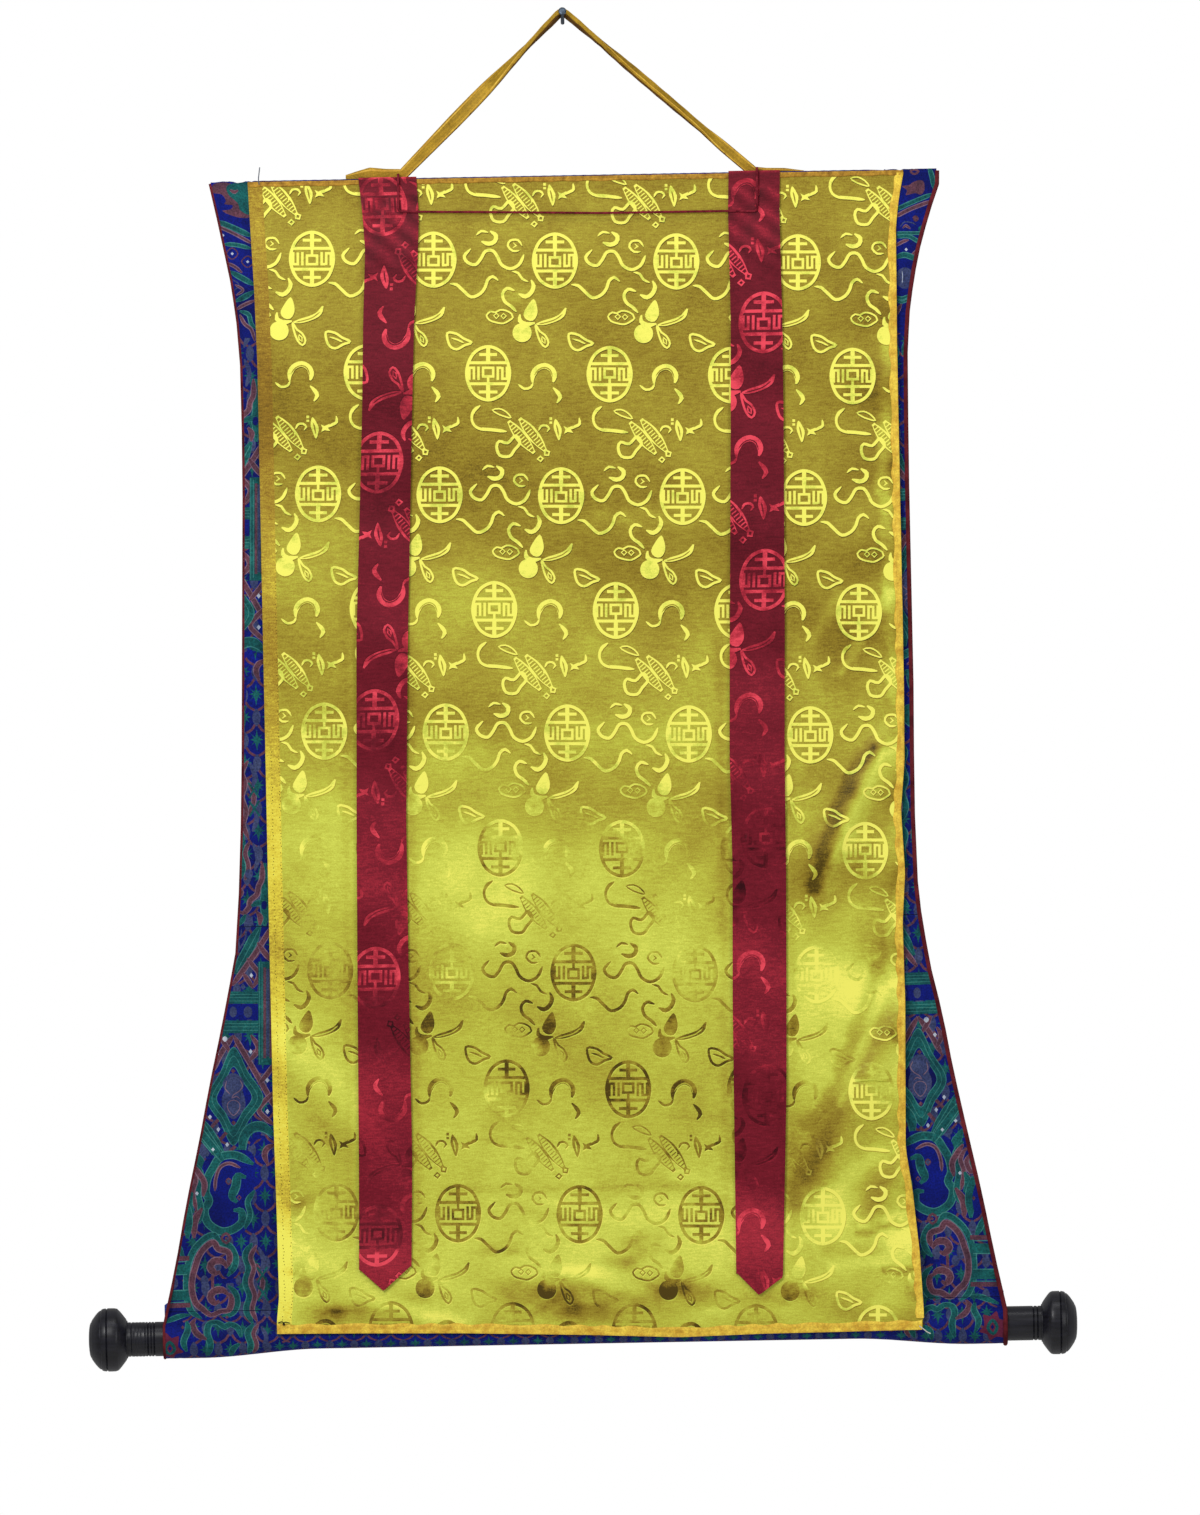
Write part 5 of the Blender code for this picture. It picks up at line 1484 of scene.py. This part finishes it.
def mount_place(flat):
    """The brocade from the back of its top hem, over it, down the panel and round
    the rod. v is the height on the panel and goes on evenly past both its ends."""
    x, v = flat[:, 0], flat[:, 1]
    z = np.clip(v, Z_SEAM, Z_TOP)
    y = panel_y(x, z) - MOUNT_THICK / 2 + 0.15
    r = HEM_MID_RADIUS + MOUNT_THICK / 2 - 0.15
    past = np.clip(v - Z_TOP, 0.0, None)
    angle = np.clip(past / r, 0.0, math.pi)
    hem_y = Y_TOP + HEM_MID_RADIUS - r * np.cos(angle)
    hem_z = Z_TOP + r * np.sin(angle) - np.clip(past - math.pi * r, 0.0, None)
    y = np.where(past > 0, hem_y, y)
    z = np.where(past > 0, hem_z, z)
    radius = sleeve_radius(x) + MOUNT_THICK - 0.15
    drop = Z_SEAM - Z_ROD
    half = np.arcsin(radius / drop)
    down = np.clip(Z_SEAM - v, 0.0, None)
    front = np.clip(down / SLEEVE_FRONT, 0.0, 1.0)
    turn = np.clip((down - SLEEVE_FRONT) / SLEEVE_ROUND, 0.0, 1.0)
    rise = np.clip((down - SLEEVE_FRONT - SLEEVE_ROUND) / SLEEVE_FRONT, 0.0, 1.0)
    tail = np.clip(down - 2 * SLEEVE_FRONT - SLEEVE_ROUND, 0.0, None)
    a = math.pi - half + turn * (math.pi + 2 * half)
    ring_y, ring_z = Y_ROD + radius * np.cos(a), Z_ROD + radius * np.sin(a)
    seam_y = panel_y(x, np.full_like(x, Z_SEAM)) - MOUNT_THICK / 2 + 0.15
    back_y = seam_y + 2 * MOUNT_THICK + GAP - 0.3
    y = np.where(down > 0, seam_y + (ring_y - seam_y) * front, y)
    z = np.where(down > 0, Z_SEAM + (ring_z - Z_SEAM) * front, z)
    y = np.where(rise > 0, ring_y + (back_y - ring_y) * rise, y)
    z = np.where(rise > 0, ring_z + (Z_SEAM - ring_z) * rise, z)
    z = np.where(tail > 0, Z_SEAM + tail, z)
    return np.stack([x, y, z], axis=1)


def mount_outline():
    """The mount's flat outline, from the end of its hem to the sleeve's allowance."""
    left = [(z, x + 1.2 * PIPING_LEFT_RADIUS) for z, x in MOUNT_LEFT]
    right = [(z, x - 1.2 * PIPING_RIGHT_RADIUS) for z, x in MOUNT_RIGHT]
    top = Z_TOP + math.pi * (HEM_MID_RADIUS + 0.85) + HEM_DEPTH
    low = Z_SEAM - 2 * SLEEVE_FRONT - SLEEVE_ROUND - SEAM_ALLOWANCE

    def side(edge, v):
        if v > Z_TOP:
            return float(table(edge, Z_TOP - (v - Z_TOP) * 0.9))
        return float(table(edge, v))

    heights = np.linspace(top, low, 320)
    loop = [(side(left, v), v) for v in heights]
    loop += [(side(right, v), v) for v in heights[::-1]]
    loop.append(loop[0])
    return even_steps(loop, 4.0)[:-1]


def make_mount():
    """The brocade with its figures, finely meshed where it turns over and round."""
    rows = [Z_TOP + r for r in np.arange(-1.0, 8.0, 1.0)]
    rows += [Z_SEAM - r for r in np.arange(0.0, 2 * SLEEVE_FRONT + SLEEVE_ROUND + 4.0, 3.0)]
    return woven("brocade_cloth", mount_outline(), brocade_marks(), mount_place,
                 thick=1.7, spacing=9.0,
                 finishes=[BLUE, TEAL, CLAY, MAUVE, TEAL_EDGE, CLAY_EDGE, WHITE_SILK, MAROON,
                           DARK_STITCH],
                 back_finish=BROCADE_BACK, back_spacing=12.0, rows=rows)


# Strap, cord, knobs and nail

def strap_stations():
    """The strap's line as (point, half width, half depth, twist), as in the source."""
    axis = Vector((0, -math.cos(NAIL_TILT), math.sin(NAIL_TILT)))
    up = Vector((0, math.sin(NAIL_TILT), math.cos(NAIL_TILT)))
    centre = axis * STRAP_AT
    thick_at_nail, swell, twist_at_nail = 2.9, 1.7, 109.0
    over = NAIL_RADIUS + STRAP_CLEAR + thick_at_nail
    stations = [(Vector((x, STRAP_TAIL_Y, z)), half, STRAP_FLAT_HALF, 0.0)
                for x, z, half in STRAP_LEFT_TAIL]
    left = Vector((STRAP_LEFT_FOOT[0], STRAP_TAIL_Y, STRAP_LEFT_FOOT[1]))
    right = Vector((STRAP_RIGHT_FOOT[0], STRAP_TAIL_Y, STRAP_RIGHT_FOOT[1]))
    turn = [centre + up * over * math.cos(a) + Vector((over * math.sin(a), 0, 0))
            for a in np.radians([-46, -30, -15, 0, 15, 30, 46])]
    for k in range(15):
        t = k / 15
        point = left.lerp(turn[0], t)
        out = float(smoothstep(0.08, 1.0, t))
        point.y = STRAP_TAIL_Y + (turn[0].y - STRAP_TAIL_Y) * out
        half = 5.0 + 1.5 * min(1.0, 3 * t) - 1.0 * float(smoothstep(0.5, 1.0, t))
        thick = STRAP_FLAT_HALF + swell * float(smoothstep(0.25, 1.0, t))
        twist = twist_at_nail * float(smoothstep(0.35, 1.0, t))
        stations.append((point, half, thick, twist))
    stations += [(p, 5.5, thick_at_nail, twist_at_nail) for p in turn]
    for k in range(1, 16):
        t = k / 15
        point = turn[-1].lerp(right, t)
        out = 1.0 - float(smoothstep(0.0, 0.92, t))
        point.y = STRAP_TAIL_Y + (turn[0].y - STRAP_TAIL_Y) * out
        thick = STRAP_FLAT_HALF + swell * (1.0 - float(smoothstep(0.55, 0.92, t)))
        twist = twist_at_nail - 54.0 * float(smoothstep(0.0, 0.4, t))
        twist = twist * (1.0 - float(smoothstep(0.70, 0.90, t)))
        stations.append((point, 5.5 - 0.5 * t, thick, twist))
    stations += [(Vector((x, STRAP_TAIL_Y, z)), half, STRAP_FLAT_HALF, 0.0)
                 for x, z, half in STRAP_RIGHT_TAIL]
    return stations


def make_strap():
    """One length of silk folded in four, so its section has two soft ribs a side."""
    rough = np.array([(*p, half, thick, math.radians(twist))
                      for p, half, thick, twist in strap_stations()])
    run = np.concatenate([[0], np.cumsum(np.linalg.norm(np.diff(rough[:, :3], axis=0),
                                                        axis=1))])
    count = 260
    at = np.linspace(0.0, run[-1], count)
    line = np.stack([np.interp(at, run, rough[:, k]) for k in range(6)], axis=1)
    around = 40
    verts, flat = [], []
    for i, row in enumerate(line):
        point = Vector(row[:3])
        ahead = Vector(line[min(i + 1, count - 1), :3]) - Vector(line[max(i - 1, 0), :3])
        ahead.normalize()
        face = Vector((0, -1, 0))
        face = (face - ahead * face.dot(ahead)).normalized()
        side = ahead.cross(face)
        width = side * math.cos(row[5]) + face * math.sin(row[5])
        depth = face * math.cos(row[5]) - side * math.sin(row[5])
        for k in range(around):
            a = math.tau * k / around
            u = math.copysign(abs(math.cos(a)) ** 0.6, math.cos(a))
            v = math.copysign(abs(math.sin(a)) ** 0.6, math.sin(a))
            ribs = 0.88 + 0.12 * math.cos(3.0 * math.pi * u + 0.3 * math.sin(at[i] / 17.0))
            pucker = 1.0 + 0.04 * math.sin(at[i] / 3.1 + 2.0 * u)
            verts.append(tuple(point + width * (row[3] * u * 0.985)
                               + depth * (row[4] * v * ribs * pucker)))
            flat.append((row[3] * math.pi * k / around, at[i]))
    strap = tube("hanging_strap_silk", verts, flat, around,
                 [STRAP_SILK, STRAP_FOLD_SHADE, STRAP_PAINTED_HIGHLIGHT], 70.0)
    # Painted light: faces that turn down take the painted shade, and four columns of faces along the
    # ribs take the painted highlight
    highlight_ribs = (5, 6, 13, 14)
    for face in strap.data.polygons:
        if face.normal.z < -0.3:
            face.material_index = 1
        elif face.index < (count - 1) * around and face.index % around in highlight_ribs:
            face.material_index = 2
    return strap


def make_cord():
    """A three-strand twisted cord of 2.2 mm."""
    line = even_steps(cord_path(), 0.7)
    around = 15
    verts, flat = [], []
    for i, point in enumerate(line):
        ahead = line[min(i + 1, len(line) - 1)] - line[max(i - 1, 0)]
        ahead = Vector(ahead).normalized()
        side = ahead.orthogonal() if i == 0 else (side - ahead * side.dot(ahead))
        side.normalize()
        up = ahead.cross(side)
        for k in range(around):
            a = math.tau * k / around
            lobe = abs(math.cos(1.5 * (a - math.tau * i * 0.7 / 5.5)))
            radius = CORD_RADIUS * (0.80 + 0.22 * lobe)
            verts.append(tuple(Vector(point) + (side * math.cos(a) + up * math.sin(a)) * radius))
            flat.append((k * 0.4, i * 0.7))
    return tube("tie_cord_twisted", verts, flat, around, [CORD_COTTON]), line


def turned(name, profile, finish, placing, segments=96):
    """A turned piece: (distance along the axis, radius) points, spun about Z and
    then placed by a matrix."""
    verts = []
    for s, r in profile:
        if r < 1e-6:
            verts.append([(0.0, 0.0, s)])
        else:
            verts.append([(r * math.cos(math.tau * k / segments),
                           r * math.sin(math.tau * k / segments), s)
                          for k in range(segments)])
    points, starts = [], []
    for ring in verts:
        starts.append(len(points))
        points += ring
    faces = []
    for (ra, a), (rb, b) in zip(zip(verts, starts), list(zip(verts, starts))[1:]):
        for k in range(segments):
            n = (k + 1) % segments
            if len(ra) == 1 and len(rb) > 1:
                faces.append((a, b + n, b + k))
            elif len(rb) == 1 and len(ra) > 1:
                faces.append((a + k, a + n, b))
            elif len(ra) > 1:
                faces.append((a + k, a + n, b + n, b + k))
    mesh = closed_mesh(name, [tuple(placing @ Vector(p)) for p in points], faces)
    return dressed(name, mesh, np.array([(p[0], p[2]) for p in points]), [finish], 35.0)


def knob_profile(neck, length, grooves):
    """Socket, grooved neck and knob, as distances from the neck's inner end."""
    body = [(0.0, NECK_RADIUS), (0.1, 16.9), (0.8, 17.2), (1.1, 18.4), (3.0, 21.2),
            (5.2, 24.2), (6.6, 26.0), (7.0, 26.3), (7.4, 26.9), (8.6, 27.9), (10.4, 28.4),
            (13.0, 28.5), (16.4, 28.5), (16.8, 27.9), (17.2, 27.6), (17.6, 27.9),
            (18.0, 28.4), (20.0, 28.1), (21.4, 27.5), (21.8, 26.7), (22.2, 26.4),
            (22.6, 26.4), (23.4, 26.0), (25.0, 24.4), (26.6, 22.4), (28.2, 20.0),
            (29.4, 18.2), (29.9, 17.2), (30.2, 16.2), (30.8, 15.4), (31.4, 13.6),
            (31.9, 10.4), (32.25, 6.0), (32.4, 0.0)]
    body = [(s * length / KNOB_LENGTH_RIGHT, r) for s, r in body]
    socket = TENON_RADIUS + GAP
    chamfer = 0.8
    start = [(SOCKET_DEPTH, 0.0), (SOCKET_DEPTH, socket), (0.0, socket),
             (0.0, NECK_RADIUS - chamfer), (chamfer, NECK_RADIUS)]
    rings = []
    for s, depth in grooves:
        rings += [(s - 0.7, NECK_RADIUS), (s - 0.25, NECK_RADIUS - depth * 0.8),
                  (s, NECK_RADIUS - depth), (s + 0.25, NECK_RADIUS - depth * 0.8),
                  (s + 0.7, NECK_RADIUS)]
    return start + rings + [(neck + s, r) for s, r in body]


def make_knobs():
    """Both knobs, each with its own grooves as (distance from the inner end, depth)."""
    reach_left, reach_right = NECK_IN_LEFT - SHOULDER_LEFT, SHOULDER_RIGHT - NECK_IN_RIGHT
    pieces = []
    for name, inner, reach, length, turn, grooves in (
            ("knob_left_turned", NECK_IN_LEFT, reach_left, KNOB_LENGTH_LEFT, -1,
             [(33.6, 0.8), (36.4, 0.6), (39.2, 0.8), (41.8, 0.5), (45.0, 0.25),
              (48.0, 0.25), (51.0, 0.25), (54.4, 0.5)]),
            ("knob_right_turned", NECK_IN_RIGHT, reach_right, KNOB_LENGTH_RIGHT, 1,
             [(reach_right - 7.0, 0.8), (reach_right - 3.4, 0.8)])):
        placing = (Matrix.Translation((inner, Y_ROD, Z_ROD))
                   @ Matrix.Rotation(turn * math.pi / 2, 4, "Y"))
        pieces.append(turned(name, knob_profile(reach, length, grooves), WOOD, placing))
    return pieces


def make_nail():
    """The nail, tilted up and cut flush with the wall plane."""
    head = NAIL_LENGTH - NAIL_HEAD_THICK
    nail = turned("nail_steel", [(-1.2, 0.0), (-1.2, NAIL_RADIUS),
                                 (head - 1.0, NAIL_RADIUS), (head - 0.3, NAIL_RADIUS + 0.5),
                                 (head, NAIL_HEAD_RADIUS - 0.4),
                                 (head + 0.3, NAIL_HEAD_RADIUS),
                                 (NAIL_LENGTH - 0.6, NAIL_HEAD_RADIUS),
                                 (NAIL_LENGTH - 0.15, NAIL_HEAD_RADIUS - 0.5),
                                 (NAIL_LENGTH + 0.1, NAIL_HEAD_RADIUS - 1.4),
                                 (NAIL_LENGTH + 0.15, 0.0)], STEEL,
                  Matrix.Rotation(math.pi / 2 - NAIL_TILT, 4, "X"), 64)
    for vert in nail.data.vertices:
        vert.co.y = min(vert.co.y, 0.0)
    return nail


veil = make_veil()
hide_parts("veil")
hems = make_hems()
ribbon_left = make_ribbon("ribbon_left_silk", RIBBON_LEFT_EDGES, RIBBON_LEFT_END,
                          (-7.0, -394.0), -1,
                          [(-140, 0.35), (-250, 0.7), (-560, 0.6), (-700, 0.3),
                           (-760, 0.15), (-860, 0.45), (-905, -0.3), (-960, 0.35),
                           (-1010, -0.25), (-1060, 0.15), (-1085, -0.5), (-1100, -0.3),
                           (-1106, 0.6), (-1140, 0.4)])
ribbon_right = make_ribbon("ribbon_right_silk", RIBBON_RIGHT_EDGES, RIBBON_RIGHT_END,
                           (6.4, -506.0), 1,
                           [(-140, 0.45), (-240, 0.75), (-560, 0.6), (-700, 0.05),
                            (-790, -0.25), (-860, 0.4), (-960, -0.1), (-1030, -0.2),
                            (-1100, 0.35), (-1150, 0.2)])
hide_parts("ribbon_left")
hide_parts("ribbon_right")
mount = make_mount()
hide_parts("brocade_mount")
strap = make_strap()
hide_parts("hanging_strap")
cord, cord_line = make_cord()
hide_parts("tie_cord")
knob_left, knob_right = make_knobs()
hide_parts("knob_left")
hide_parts("knob_right")
nail = make_nail()
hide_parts("wall_nail")
for node, finish in (("edge_piping_left", BINDING), ("edge_piping_right", BINDING),
                     ("bottom_rod", BARE_WOOD)):
    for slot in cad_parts[node].material_slots:
        slot.material = finish


# Floor and light

def lamp(name, place, aim, size, power):
    """A white softbox of a size in metres, turned to the point it lights."""
    data = bpy.data.lights.new(name, "AREA")
    data.shape = "RECTANGLE"
    data.size, data.size_y = size
    data.energy = power
    light = bpy.data.objects.new(name, data)
    bpy.context.scene.collection.objects.link(light)
    light.location = place
    light.rotation_euler = (Vector(aim) - Vector(place)).to_track_quat("-Z", "Y").to_euler()


floor_mesh = bpy.data.meshes.new("studio_floor")
bm = bmesh.new()
bmesh.ops.create_circle(bm, cap_ends=True, segments=96, radius=1.35)
bm.to_mesh(floor_mesh)
bm.free()
floor = bpy.data.objects.new("studio_floor", floor_mesh)
bpy.context.scene.collection.objects.link(floor)
floor.location = (0.0, -0.1, -1.75)
# Pale floor paint: matte, and a little uneven
paint, tree, shader = surface("pale floor paint", Roughness=0.8)
grit = put(tree, "TexNoise", None, {"Scale": 40.0, "Detail": 4.0}).outputs["Fac"]
tree.links.new(put(tree, "Mix", {"data_type": "RGBA"},
                   {0: grit, 6: srgb("#e6e5e2"), 7: srgb("#efeeec")}).outputs[2],
               shader.inputs["Base Color"])
floor_mesh.materials.append(paint)

world = bpy.data.worlds.new("studio")
world.use_nodes = True
bpy.context.scene.world = world
tree = world.node_tree
shade = tree.nodes["Background"]
shade.inputs["Color"].default_value = (1.0, 1.0, 1.0, 1.0)
shade.inputs["Strength"].default_value = 0.38
seen = put(tree, "Background", None, {"Color": (1.0, 1.0, 1.0, 1.0), "Strength": 1.0})
direct = put(tree, "LightPath").outputs["Is Camera Ray"]
both = put(tree, "MixShader", None, {0: direct, 1: shade.outputs[0], 2: seen.outputs[0]})
tree.links.new(both.outputs[0], tree.nodes["World Output"].inputs["Surface"])
bpy.context.scene.view_settings.view_transform = "Standard"

lamp("key light", (-1.1, -2.4, 0.55), (0.0, 0.0, -0.6), (1.0, 1.0), 46.0)
lamp("fill light", (1.7, -1.9, -0.5), (0.0, 0.0, -0.7), (1.0, 1.6), 12.0)
lamp("top light", (0.1, -0.9, 1.1), (0.0, 0.0, -0.4), (1.4, 0.5), 8.0)
